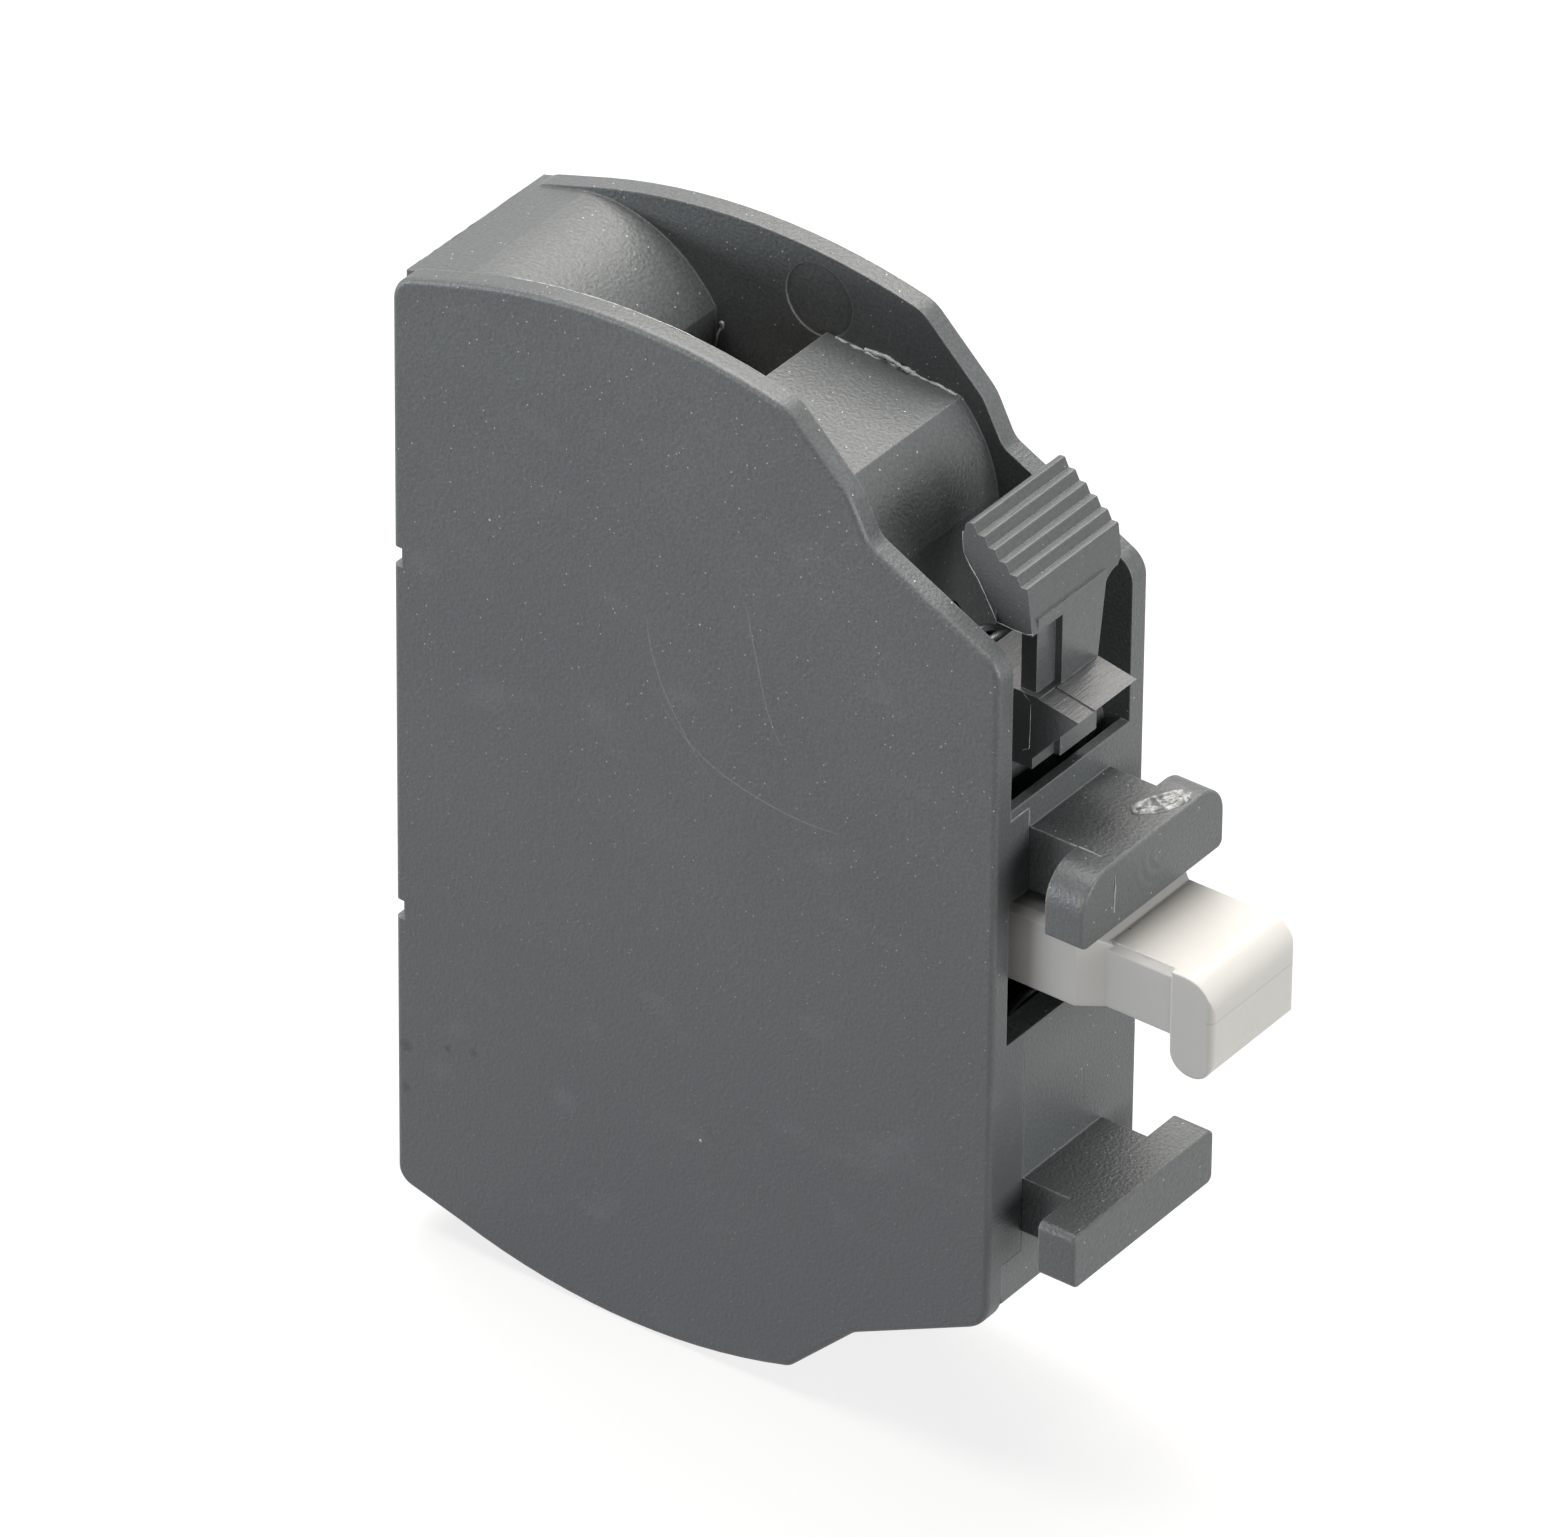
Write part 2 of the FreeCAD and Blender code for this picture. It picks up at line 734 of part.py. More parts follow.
def build_housing():
    body = new_body("housing")
    build_plate(body, -INNER_HALF, -HALF_WIDTH, -1, size("housing_rim_radius"))

    walls = new_sketch(body, "YZ_Plane", "walls", -INNER_HALF)
    for loop in (wall_outline(), contact_chamber(), upper_core(), lower_core()):
        add_loop(walls, loop)
    pad(body, walls, 2 * INNER_HALF, 1)

    roof_end = size("roof_front_height") + size("roof_rise")
    brink = size("roof_front_height") - size("front_wall")
    edges = new_sketch(body, "YZ_Plane", "front_edges", -HALF_WIDTH)
    add_loop(
        edges,
        [
            (FRONT_FACE, brink),
            (FRONT_INNER, brink),
            (FRONT_FACE + size("roof_setback"), roof_end),
            (FRONT_FACE, size("roof_front_height")),
        ],
    )
    add_loop(
        edges,
        [
            (FRONT_FACE, -size("roof_front_height")),
            (FRONT_FACE + size("roof_setback"), -roof_end),
            (FRONT_INNER, -brink),
            (FRONT_FACE, -brink),
        ],
    )
    pad(body, edges, size("side_wall") + TOUCHING, 1)

    window = new_sketch(body, "YZ_Plane", "window", -INNER_HALF)
    add_rectangle(window, REAR_INNER, NONE, -size("window_drop"), size("window_top"))
    pocket(body, window, 2 * INNER_HALF, 1)

    rebate = new_sketch(body, "YZ_Plane", "flange_rebate", FLANGE_EDGE - size("flange_gap"))
    add_rectangle(rebate, REAR_INNER, NONE, -size("flange_drop"), size("flange_top"))
    pocket(body, rebate, size("flange_width") + size("flange_gap"), 1)

    far, near = add_hook(
        body,
        "upper_hook",
        size("upper_hook_top"),
        size("upper_hook_height"),
        size("upper_bar_gap"),
        size("upper_bar_thickness"),
        size("upper_bar_extra"),
    )
    bar_top = size("upper_hook_top")
    bar_bottom = bar_top - size("upper_hook_height") - size("upper_bar_extra")
    round_edges(body, "upper_ear", size("upper_bar_near_radius"), along_y_at(near, bar_top))
    round_edges(body, "far_ear", size("upper_bar_far_radius"), along_y_at(far, bar_top))
    for side, name in ((near, "near"), (far, "far")):
        rule = along_y_at(side, bar_bottom)
        round_edges(body, "upper_bar_" + name, size("bar_edge_radius"), rule)

    far, near = add_hook(
        body,
        "lower_hook",
        -size("lower_hook_top_drop"),
        size("lower_hook_height"),
        size("lower_bar_gap"),
        size("lower_bar_thickness"),
        NONE,
    )
    low_top = -size("lower_hook_top_drop")
    low_bottom = low_top - size("lower_hook_height")
    for number, (side, level) in enumerate(
        ((near, low_top), (far, low_top), (near, low_bottom), (far, low_bottom))
    ):
        rule = along_y_at(side, level)
        round_edges(body, "lower_bar_%d" % number, size("bar_edge_radius"), rule)

    for name, level in (
        ("upper_bar_end", size("upper_bar_gap") + size("upper_bar_thickness")),
        ("lower_bar_end", size("lower_bar_gap") + size("lower_bar_thickness")),
    ):
        round_edges(body, name, size("moulded_edge"), lies_at_y(level))
    ejector = new_sketch(body, "YZ_Plane", "ejector_mark", -INNER_HALF)
    add_circle(ejector, -size("ejector_forward"), size("ejector_height"), size("ejector_radius"))
    pocket(body, ejector, size("ejector_depth"), -1)

    add_terminal_cuts(body)
    add_grooves(body, -HALF_WIDTH, HALF_WIDTH + INNER_HALF, 1)
    add_rails(body, 1)
    add_pivot_boss(body, 1)
    add_spring_seats(body)

    sockets = new_sketch(body, "YZ_Plane", "peg_sockets", INNER_HALF)
    for across, up in PEG_PLACES:
        add_circle(sockets, across, up, size("peg_radius") + size("peg_clearance"))
    pocket(body, sockets, size("peg_length") + 2 * size("peg_clearance"), -1)
    return body


def add_terminal_cuts(body):
    """Both terminals: screwdriver access, head guide, nut seat, tip relief and strip slot."""
    places = (size("terminal_height"), -size("terminal_height"))
    access = new_sketch(body, "XZ_Plane", "screw_access", FRONT_FACE)
    guide = new_sketch(body, "XZ_Plane", "head_guide", FRONT_FACE)
    relief = new_sketch(body, "XZ_Plane", "tip_relief", STRIP_REAR)
    seat = new_sketch(body, "XZ_Plane", "nut_seat", STRIP_REAR)
    half_nut = size("nut_width") / 2 + size("nut_clearance")
    for height in places:
        add_circle(access, NONE, height, size("access_radius"))
        add_circle(guide, NONE, height, size("head_radius") + size("head_clearance"))
        add_circle(relief, NONE, height, size("screw_radius") + size("hole_clearance"))
        add_rectangle(seat, -half_nut, half_nut, height - half_nut, height + half_nut)
    pocket(body, access, size("access_depth"), 1)
    pocket(body, guide, size("guide_depth"), 1)
    travel = size("clamp_travel") + size("hole_clearance")
    pocket(body, relief, size("nut_thickness") + travel, 1)
    pocket(body, seat, size("nut_thickness") + size("nut_clearance"), 1)
    half_leg = size("leg_width") / 2 + size("leg_clearance")
    slots = new_sketch(body, "XZ_Plane", "strip_slots", STRIP_FRONT - size("leg_clearance"))
    for top in (FLOOR, -CHAMBER_TOP):
        add_rectangle(slots, -half_leg, half_leg, top - size("inner_wall"), top)
    pocket(body, slots, size("strip_thickness") + size("leg_clearance"), 1)


def add_spring_seats(body):
    """A peg inside the rear wall for the return spring, and the latch spring's blind seat."""
    peg = new_sketch(body, "XZ_Plane", "return_peg", REAR_INNER)
    add_circle(peg, NONE, SPRING_AXIS, peg_radius("return_spring"))
    pad(body, peg, size("spring_peg_length"), -1)
    seat = new_sketch(body, "XZ_Plane", "latch_spring_seat", BLOCK_REAR)
    add_circle(
        seat,
        NONE,
        size("latch_spring_height"),
        size("latch_spring_radius") + size("latch_spring_wire") + size("hole_clearance"),
    )
    pocket(body, seat, size("inner_wall") - size("latch_seat_floor"), -1)


def peg_radius(spring):
    return size(spring + "_radius") - size(spring + "_wire") - size("spring_peg_gap")


# Side cover: the near plate with the flange that closes the rear wall, rails and pegs.


def build_cover():
    body = new_body("side_cover")
    build_plate(body, INNER_HALF, HALF_WIDTH, 1, size("cover_rim_radius"))

    flange = new_sketch(body, "YZ_Plane", "flange", INNER_HALF)
    add_rectangle(
        flange,
        REAR_INNER,
        NONE,
        -size("flange_drop") + size("flange_gap"),
        -size("window_drop"),
    )
    add_rectangle(
        flange,
        REAR_INNER,
        NONE,
        size("window_top"),
        size("flange_top") - size("flange_gap"),
    )
    pad(body, flange, size("flange_width"), -1)
    add_grooves(body, HALF_WIDTH, size("side_wall"), -1)
    add_rails(body, -1)
    add_pivot_boss(body, -1)

    pegs = new_sketch(body, "YZ_Plane", "pegs", INNER_HALF)
    for across, up in PEG_PLACES:
        add_circle(pegs, across, up, size("peg_radius"))
    pad(body, pegs, size("peg_length"), -1)
    return body


# Release latch: a ribbed thumb pad on an arm, a wedge that catches, and a pivoted tail.


RIDGE_TOP = (-size("ridge_top_forward"), size("ridge_top_height"))
PAD_BROW = (RIDGE_TOP[0] - size("pad_brow_flat"), RIDGE_TOP[1] - size("pad_brow_fall"))


def pad_profile():
    """The thumb pad from the side, with the ridges along its sloping top as a row of steps."""
    back = size("ridge_pitch_back")
    drop = size("ridge_pitch_drop")
    stations = [
        RIDGE_TOP,
        PAD_BROW,
        (-size("pad_front_forward"), size("pad_front_height")),
        (-size("pad_waist_forward"), size("pad_waist_height")),
        (-size("pad_foot_forward"), size("pad_bottom_height")),
        (size("pad_rear_reach"), size("pad_bottom_height")),
    ]
    for ridge in range(RIDGE_COUNT - 1, 0, -1):
        crest = (RIDGE_TOP[0] + ridge * back, RIDGE_TOP[1] - ridge * drop)
        stations.append(crest)
        stations.append((crest[0] - size("tread_depth"), crest[1] - size("tread_fall")))
    return stations



def round_ridges(body):
    """Rounds the crest of every ridge, and the pad's upper front corner."""
    for ridge in range(1, RIDGE_COUNT):
        crest = along_x_at(
            RIDGE_TOP[0] + ridge * size("ridge_pitch_back"),
            RIDGE_TOP[1] - ridge * size("ridge_pitch_drop"),
        )
        round_edges(body, "ridge_%d" % ridge, size("ridge_radius"), crest)
    round_edges(body, "pad_crest", size("ridge_radius"), along_x_at(*RIDGE_TOP))
    round_edges(body, "pad_brow", size("pad_brow_radius"), along_x_at(*PAD_BROW))
    front = along_x_at(-size("pad_front_forward"), size("pad_front_height"))
    round_edges(body, "pad_front", size("pad_front_radius"), front)
    waist = along_x_at(-size("pad_waist_forward"), size("pad_waist_height"))
    round_edges(body, "pad_waist", size("pad_front_radius"), waist)


def build_latch():
    body = new_body("release_latch")
    thumb = new_sketch(body, "YZ_Plane", "thumb_pad", -size("pad_far_reach"))
    add_loop(thumb, pad_profile())
    pad(body, thumb, size("pad_far_reach") + size("pad_near_reach"), 1)
    round_ridges(body)

    face = size("pad_rear_reach")
    shoulder = new_sketch(body, "XZ_Plane", "far_shoulder", face)
    sweep = size("arm_shoulder_radius")
    far = -size("pad_far_reach")
    floor = size("pad_bottom_height")
    spare = size("arm_overlap")
    add_loop(
        shoulder,
        [
            (far - spare, floor - spare),
            (-size("arm_far_top_reach"), floor - spare),
            (-size("arm_far_top_reach"), floor, sweep),
            (far + size("pad_far_taper"), floor + size("shoulder_drop")),
            (far, floor + 2 * size("shoulder_drop")),
            (far - spare, floor + 2 * size("shoulder_drop")),
        ],
    )
    pocket(body, shoulder, face + size("pad_front_forward") + spare, -1)

    arm = new_sketch(body, "XZ_Plane", "arm", face - size("arm_thickness"))
    low = size("foot_bottom_height")
    root = size("arm_root_radius")
    add_loop(
        arm,
        [
            (-size("arm_far_reach"), low),
            (size("arm_near_reach"), low),
            (size("arm_near_reach"), floor - root, -root),
            (size("arm_near_reach") + root, floor),
            (size("arm_near_reach") + root, floor + spare),
            (-size("arm_far_top_reach"), floor + spare),
            (-size("arm_far_top_reach"), floor),
            (-size("arm_far_reach"), size("wedge_top_height")),
        ],
    )
    pad(body, arm, size("arm_thickness"), 1)
    recess = new_sketch(body, "XZ_Plane", "arm_recess", face)
    add_rectangle(
        recess,
        size("arm_face_near_reach"),
        size("arm_near_reach") + root,
        low,
        floor,
    )
    pocket(body, recess, size("arm_recess"), -1)

    foot = new_sketch(body, "YZ_Plane", "foot", -size("arm_far_reach"))
    add_loop(
        foot,
        [
            (-size("foot_forward"), low),
            (NONE, low),
            (NONE, size("wedge_bottom_height")),
            (size("wedge_reach"), size("wedge_tip_height")),
            (face, size("wedge_top_height")),
            (-size("foot_forward"), size("wedge_top_height")),
        ],
    )
    pad(body, foot, size("arm_far_reach") + size("foot_near_reach"), 1)
    nick = new_sketch(body, "YZ_Plane", "wedge_step", size("foot_near_reach"))
    step = size("wedge_step")
    add_loop(
        nick,
        [
            (face - step, size("wedge_top_height") - step),
            (size("wedge_reach"), size("wedge_tip_height") - step),
            (size("wedge_reach") + step, size("wedge_tip_height") + step),
            (face, size("wedge_top_height") + step),
        ],
    )
    pocket(body, nick, size("foot_near_reach") - size("wedge_step_reach"), -1)

    tail = new_sketch(body, "YZ_Plane", "tail", -size("tail_half_width"))
    half_tail = size("tail_thickness") / 2
    add_rectangle(
        tail,
        -size("pivot_forward") - half_tail,
        -size("pivot_forward") + half_tail,
        size("pivot_height") - half_tail,
        low,
    )
    pad(body, tail, 2 * size("tail_half_width"), 1)

    reach = INNER_HALF - size("slide_clearance")
    trunnion = new_sketch(body, "YZ_Plane", "trunnion", -reach)
    add_circle(trunnion, -size("pivot_forward"), size("pivot_height"), size("pivot_radius"))
    pad(body, trunnion, 2 * reach, 1)

    peg = new_sketch(body, "XZ_Plane", "latch_peg", -size("foot_forward"))
    add_circle(peg, NONE, size("latch_spring_height"), peg_radius("latch_spring"))
    pad(body, peg, size("spring_peg_length") / 2, -1)
    return body


# Actuator slider: hook nose, neck, stem, spring lug and the carriage that holds the bridge.


def build_slider():
    body = new_body("actuator_slider")
    outer = INNER_HALF - size("slide_clearance")
    stem_half = INNER_HALF - size("stem_side_gap")
    neck_half = stem_half - size("neck_step")

    stem = new_sketch(body, "XY_Plane", "stem", -size("stem_drop"))
    add_loop(
        stem,
        [
            (-stem_half, CARRIAGE_REAR - TOUCHING),
            (stem_half, CARRIAGE_REAR - TOUCHING),
            (stem_half, size("stem_reach")),
            (neck_half, size("stem_reach") + size("stem_taper")),
            (-neck_half, size("stem_reach") + size("stem_taper")),
            (-stem_half, size("stem_reach")),
        ],
    )
    pad(body, stem, size("stem_top") + size("stem_drop"), 1)

    carriage = new_sketch(body, "XY_Plane", "carriage", -size("carriage_half_height"))
    add_rectangle(carriage, -outer, outer, CARRIAGE_FRONT, CARRIAGE_REAR)
    opening = size("bridge_width") / 2 + size("carriage_window_gap")
    add_rectangle(carriage, -opening, opening, CARRIAGE_SPRING_SEAT, BRIDGE_REAR)
    pad(body, carriage, 2 * size("carriage_half_height"), 1)

    neck = new_sketch(body, "XY_Plane", "neck", -size("neck_drop"))
    nose_front = size("nose_reach") - size("nose_depth")
    add_rectangle(neck, -neck_half, neck_half, size("stem_reach"), nose_front + TOUCHING)
    pad(body, neck, size("neck_top") + size("neck_drop"), 1)
    neck_top = size("neck_top")
    slope = new_sketch(body, "YZ_Plane", "collar_slope", -stem_half)
    collar_end = size("stem_reach") + size("stem_taper")
    add_loop(
        slope,
        [
            (size("stem_reach"), size("stem_top")),
            (collar_end, neck_top),
            (collar_end, size("stem_top")),
        ],
    )
    pocket(body, slope, 2 * stem_half, 1)
    bevel = size("neck_chamfer")
    chamfer_edges(body, "neck_edge", bevel, along_y_at(neck_half, neck_top))
    stem_top = size("stem_top")
    edge = new_sketch(body, "XZ_Plane", "stem_edge", size("stem_reach"))
    add_loop(
        edge, [(stem_half - bevel, stem_top), (stem_half, stem_top - bevel), (stem_half, stem_top)]
    )
    pocket(body, edge, size("stem_reach") - LUG_REAR, -1)

    nose_half = neck_half + size("nose_side_step")
    rear = size("nose_reach")
    low = -size("nose_drop")
    corner = size("nose_corner_radius")
    nose = new_sketch(body, "XY_Plane", "nose", low)
    add_loop(
        nose,
        [
            (-nose_half, nose_front),
            (nose_half, nose_front),
            (nose_half, rear - corner, corner),
            (nose_half - corner, rear),
            (-nose_half + corner, rear, corner),
            (-nose_half, rear - corner),
        ],
    )
    pad(body, nose, neck_top - low, 1)
    crest = size("nose_top_radius")
    foot = size("nose_bottom_radius")
    for name, before, point, after, radius in (
        ("nose_crest", (rear, neck_top - crest), (rear, neck_top), (rear - crest, neck_top), crest),
        ("nose_heel", (rear - foot, low), (rear, low), (rear, low + foot), foot),
        ("nose_toe", (nose_front, low + foot), (nose_front, low), (nose_front + foot, low), foot),
    ):
        cutter = new_sketch(body, "YZ_Plane", name, -nose_half)
        add_loop(cutter, [before, point, (*after, -radius)])
        pocket(body, cutter, 2 * nose_half, 1)

    lug = new_sketch(body, "YZ_Plane", "spring_lug", -size("spring_lug_half_width"))
    lug_bottom = (
        SPRING_AXIS - size("return_spring_radius") - size("return_spring_wire")
    )
    add_rectangle(lug, LUG_FRONT, LUG_REAR, lug_bottom, NONE)
    pad(body, lug, 2 * size("spring_lug_half_width"), 1)
    peg = new_sketch(body, "XZ_Plane", "lug_peg", LUG_REAR)
    add_circle(peg, NONE, SPRING_AXIS, peg_radius("return_spring"))
    pad(body, peg, size("spring_peg_length"), 1)
    button = new_sketch(body, "XZ_Plane", "bridge_peg", CARRIAGE_SPRING_SEAT)
    add_circle(button, NONE, NONE, peg_radius("bridge_spring"))
    pad(body, button, size("spring_peg_length"), 1)
    return body


# Contacts: a sprung bridge carried by the slider, and two fixed strips with silver tips.


def build_bridge():
    body = new_body("contact_bridge")
    sketch = new_sketch(body, "XZ_Plane", "bridge_plan", BRIDGE_FRONT)
    half = size("bridge_width") / 2
    waist = size("bridge_waist") / 2
    end = size("contact_height") + size("bridge_end")
    neck = size("contact_height") - size("bridge_end")
    centre = size("carriage_half_height") / 2
    add_loop(
        sketch,
        [
            (-half, -end),
            (half, -end),
            (half, -neck),
            (waist, -neck + half - waist),
            (waist, -centre - half + waist),
            (half, -centre),
            (half, centre),
            (waist, centre + half - waist),
            (waist, neck - half + waist),
            (half, neck),
            (half, end),
            (-half, end),
            (-half, neck),
            (-waist, neck - half + waist),
            (-waist, centre + half - waist),
            (-half, centre),
            (-half, -centre),
            (-waist, -centre - half + waist),
            (-waist, -neck + half - waist),
            (-half, -neck),
        ],
    )
    pad(body, sketch, size("bridge_thickness"), 1)
    return body


def build_tip(label, front, side, domed_towards):
    """A silver contact tip, a low disc with a rounded working edge."""
    body = new_body(label)
    sketch = new_sketch(body, "XZ_Plane", label + "_disc", front)
    add_circle(sketch, NONE, side * size("contact_height"), size("tip_radius"))
    pad(body, sketch, size("tip_thickness"), 1)
    working = front if domed_towards < 0 else front + size("tip_thickness")
    round_edges(body, label + "_edge", size("tip_edge_radius"), lies_at_y(working))
    return body


def build_strip(label, side):
    """A terminal strip: a wide head under the clamp and a leg that carries the fixed tip."""
    body = new_body(label)
    half = INNER_HALF - size("strip_side_gap")
    leg = size("leg_width") / 2
    top = size("terminal_height") + size("strip_top")
    bottom = FLOOR + size("leg_clearance")
    end = size("contact_height") - size("leg_end")
    sketch = new_sketch(body, "XZ_Plane", label + "_plan", STRIP_FRONT)
    stations = [
        (-leg, end),
        (leg, end),
        (leg, bottom),
        (half, bottom),
        (half, top),
        (-half, top),
        (-half, bottom),
        (-leg, bottom),
    ]
    if side < 0:
        stations = [(-across, -up) for across, up in stations]
    add_loop(sketch, stations)
    pad(body, sketch, size("strip_thickness"), 1)
    hole = new_sketch(body, "XZ_Plane", label + "_hole", STRIP_FRONT)
    add_circle(
        hole,
        NONE,
        side * size("terminal_height"),
        size("screw_radius") + size("hole_clearance"),
    )
    pocket(body, hole, size("strip_thickness"), 1)
    return body


# Terminal parts: nut, clamp plate, spring washer and screw.

CLAMP_FRONT = GUIDE_REAR + size("clamp_seat_gap")
CLAMP_REAR = CLAMP_FRONT + size("clamp_thickness")
HEAD_REAR = CLAMP_FRONT - size("washer_thickness")
HEAD_FRONT = HEAD_REAR - size("head_height")


def build_nut(label, side):
    body = new_body(label)
    height = side * size("terminal_height")
    half = size("nut_width") / 2
    sketch = new_sketch(body, "XZ_Plane", label + "_plan", STRIP_REAR)
    add_rectangle(sketch, -half, half, height - half, height + half)
    add_circle(sketch, NONE, height, size("screw_radius") + size("thread_clearance"))
    pad(body, sketch, size("nut_thickness"), 1)
    return body


def build_clamp(label, side):
    """The clamp plate, with two lips that keep the wires from slipping out sideways."""
    body = new_body(label)
    height = side * size("terminal_height")
    half = INNER_HALF - size("clamp_side_gap")
    tall = size("clamp_height") / 2
    plate = new_sketch(body, "XZ_Plane", label + "_plan", CLAMP_FRONT)
    add_rectangle(plate, -half, half, height - tall, height + tall)
    add_circle(plate, NONE, height, size("screw_radius") + size("hole_clearance"))
    pad(body, plate, size("clamp_thickness"), 1)
    lips = new_sketch(body, "XZ_Plane", label + "_lips", CLAMP_REAR)
    inner = half - size("clamp_lip")
    add_rectangle(lips, inner, half, height - tall, height + tall)
    add_rectangle(lips, -half, -inner, height - tall, height + tall)
    pad(body, lips, size("clamp_lip"), 1)
    return body


def build_washer(label, side):
    """A split spring washer between the screw's head and the clamp plate."""
    body = new_body(label)
    height = side * size("terminal_height")
    ring = new_sketch(body, "XZ_Plane", label + "_ring", HEAD_REAR)
    add_circle(ring, NONE, height, size("washer_radius"))
    add_circle(ring, NONE, height, size("screw_radius") + size("hole_clearance"))
    pad(body, ring, size("washer_thickness"), 1)
    cut = new_sketch(body, "XZ_Plane", label + "_split", HEAD_REAR)
    half = size("washer_split") / 2
    add_rectangle(cut, NONE, size("washer_radius") * 2, height - half, height + half)
    pocket(body, cut, size("washer_thickness"), 1)
    return body


def build_screw(label, side):
    """A pan-head terminal screw with a combined slot and cross recess."""
    body = new_body(label)
    height = side * size("terminal_height")
    head = new_sketch(body, "XZ_Plane", label + "_head", HEAD_FRONT)
    add_circle(head, NONE, height, size("head_radius"))
    pad(body, head, size("head_height"), 1)
    round_edges(body, label + "_dome", size("head_height") / 4, lies_at_y(HEAD_FRONT))
    shank = new_sketch(body, "XZ_Plane", label + "_shank", HEAD_REAR)
    add_circle(shank, NONE, height, size("screw_radius"))
    tip = NUT_REAR - size("nut_clearance")
    pad(body, shank, tip - HEAD_REAR, 1)
    chamfer_edges(body, label + "_point", size("screw_radius") / 4, lies_at_y(tip))
    half = size("slot_width") / 2
    long = size("head_radius") * 1.2
    short = size("head_radius") * 0.62
    slot = new_sketch(body, "XZ_Plane", label + "_slot", HEAD_FRONT)
    add_loop(
        slot,
        [
            (-long, height - half),
            (-half, height - half),
            (-half, height - short),
            (half, height - short),
            (half, height - half),
            (long, height - half),
            (long, height + half),
            (half, height + half),
            (half, height + short),
            (-half, height + short),
            (-half, height + half),
            (-long, height + half),
        ],
    )
    pocket(body, slot, size("slot_depth"), 1)
    return body


# Springs: coils of round wire along the Y axis, from one seat to the next.


def build_spring(label, start, stop, height):
    radius = size(label + "_radius")
    wire = size(label + "_wire")
    turns = size(label + "_turns")
    rise = stop - start - 2 * wire
    coil = document.addObject("Part::Helix", label + "_path")
    bind(coil, "Radius", radius)
    bind(coil, "Height", rise)
    bind(coil, "Pitch", rise / turns)
    coil.SegmentLength = 0.5
    section = document.addObject("Part::Circle", label + "_section")
    bind(section, "Radius", wire)
    bind(section, ".Placement.Base.x", radius)
    section.Placement.Rotation = FreeCAD.Rotation(FreeCAD.Vector(1, 0, 0), 90)
    document.recompute()
    sweep = document.addObject("Part::Sweep", label)
    sweep.Label = label
    sweep.Sections = [section]
    sweep.Spine = (coil, [])
    sweep.Solid = True
    sweep.Frenet = True
    sweep.Placement.Rotation = FreeCAD.Rotation(FreeCAD.Vector(1, 0, 0), -90)
    bind(sweep, ".Placement.Base.y", start + wire)
    bind(sweep, ".Placement.Base.z", height)
    return sweep


pieces = [build_housing(), build_cover(), build_latch(), build_slider(), build_bridge()]
pieces.append(build_spring("return_spring", LUG_REAR, REAR_INNER, SPRING_AXIS))
pieces.append(build_spring("bridge_spring", CARRIAGE_SPRING_SEAT, BRIDGE_FRONT, NONE))
SPRING_SEAT = BLOCK_REAR - size("inner_wall") + size("latch_seat_floor")
pieces.append(
    build_spring(
        "latch_spring", SPRING_SEAT, -size("foot_forward"), size("latch_spring_height")
    )
)
for place, side in (("upper", 1), ("lower", -1)):
    pieces.append(build_tip("bridge_tip_" + place, BRIDGE_REAR, side, 1))
    pieces.append(build_tip("fixed_tip_" + place, FIXED_TIP_FRONT, side, -1))
    pieces.append(build_strip("terminal_strip_" + place, side))
    pieces.append(build_nut("terminal_nut_" + place, side))
    pieces.append(build_clamp("clamp_plate_" + place, side))
    pieces.append(build_washer("spring_washer_" + place, side))
    pieces.append(build_screw("terminal_screw_" + place, side))
document.recompute()

for thing in document.Objects:
    if "Invalid" in thing.State or "Error" in thing.State:
        raise RuntimeError(thing.Name + " failed: " + ", ".join(thing.State))
for piece in pieces:
    if piece.Shape.isNull() or not piece.Shape.isValid():
        raise RuntimeError(piece.Label + " has no valid shape")

os.makedirs("parts", exist_ok=True)
for piece in pieces:
    piece.Shape.exportStep("parts/%s.step" % piece.Label)
    box = piece.Shape.BoundBox
    print(
        "%-22s %8.1f mm3  x %6.2f %6.2f  y %6.2f %6.2f  z %6.2f %6.2f"
        % (piece.Label, piece.Shape.Volume, box.XMin, box.XMax, box.YMin, box.YMax, box.ZMin, box.ZMax)
    )
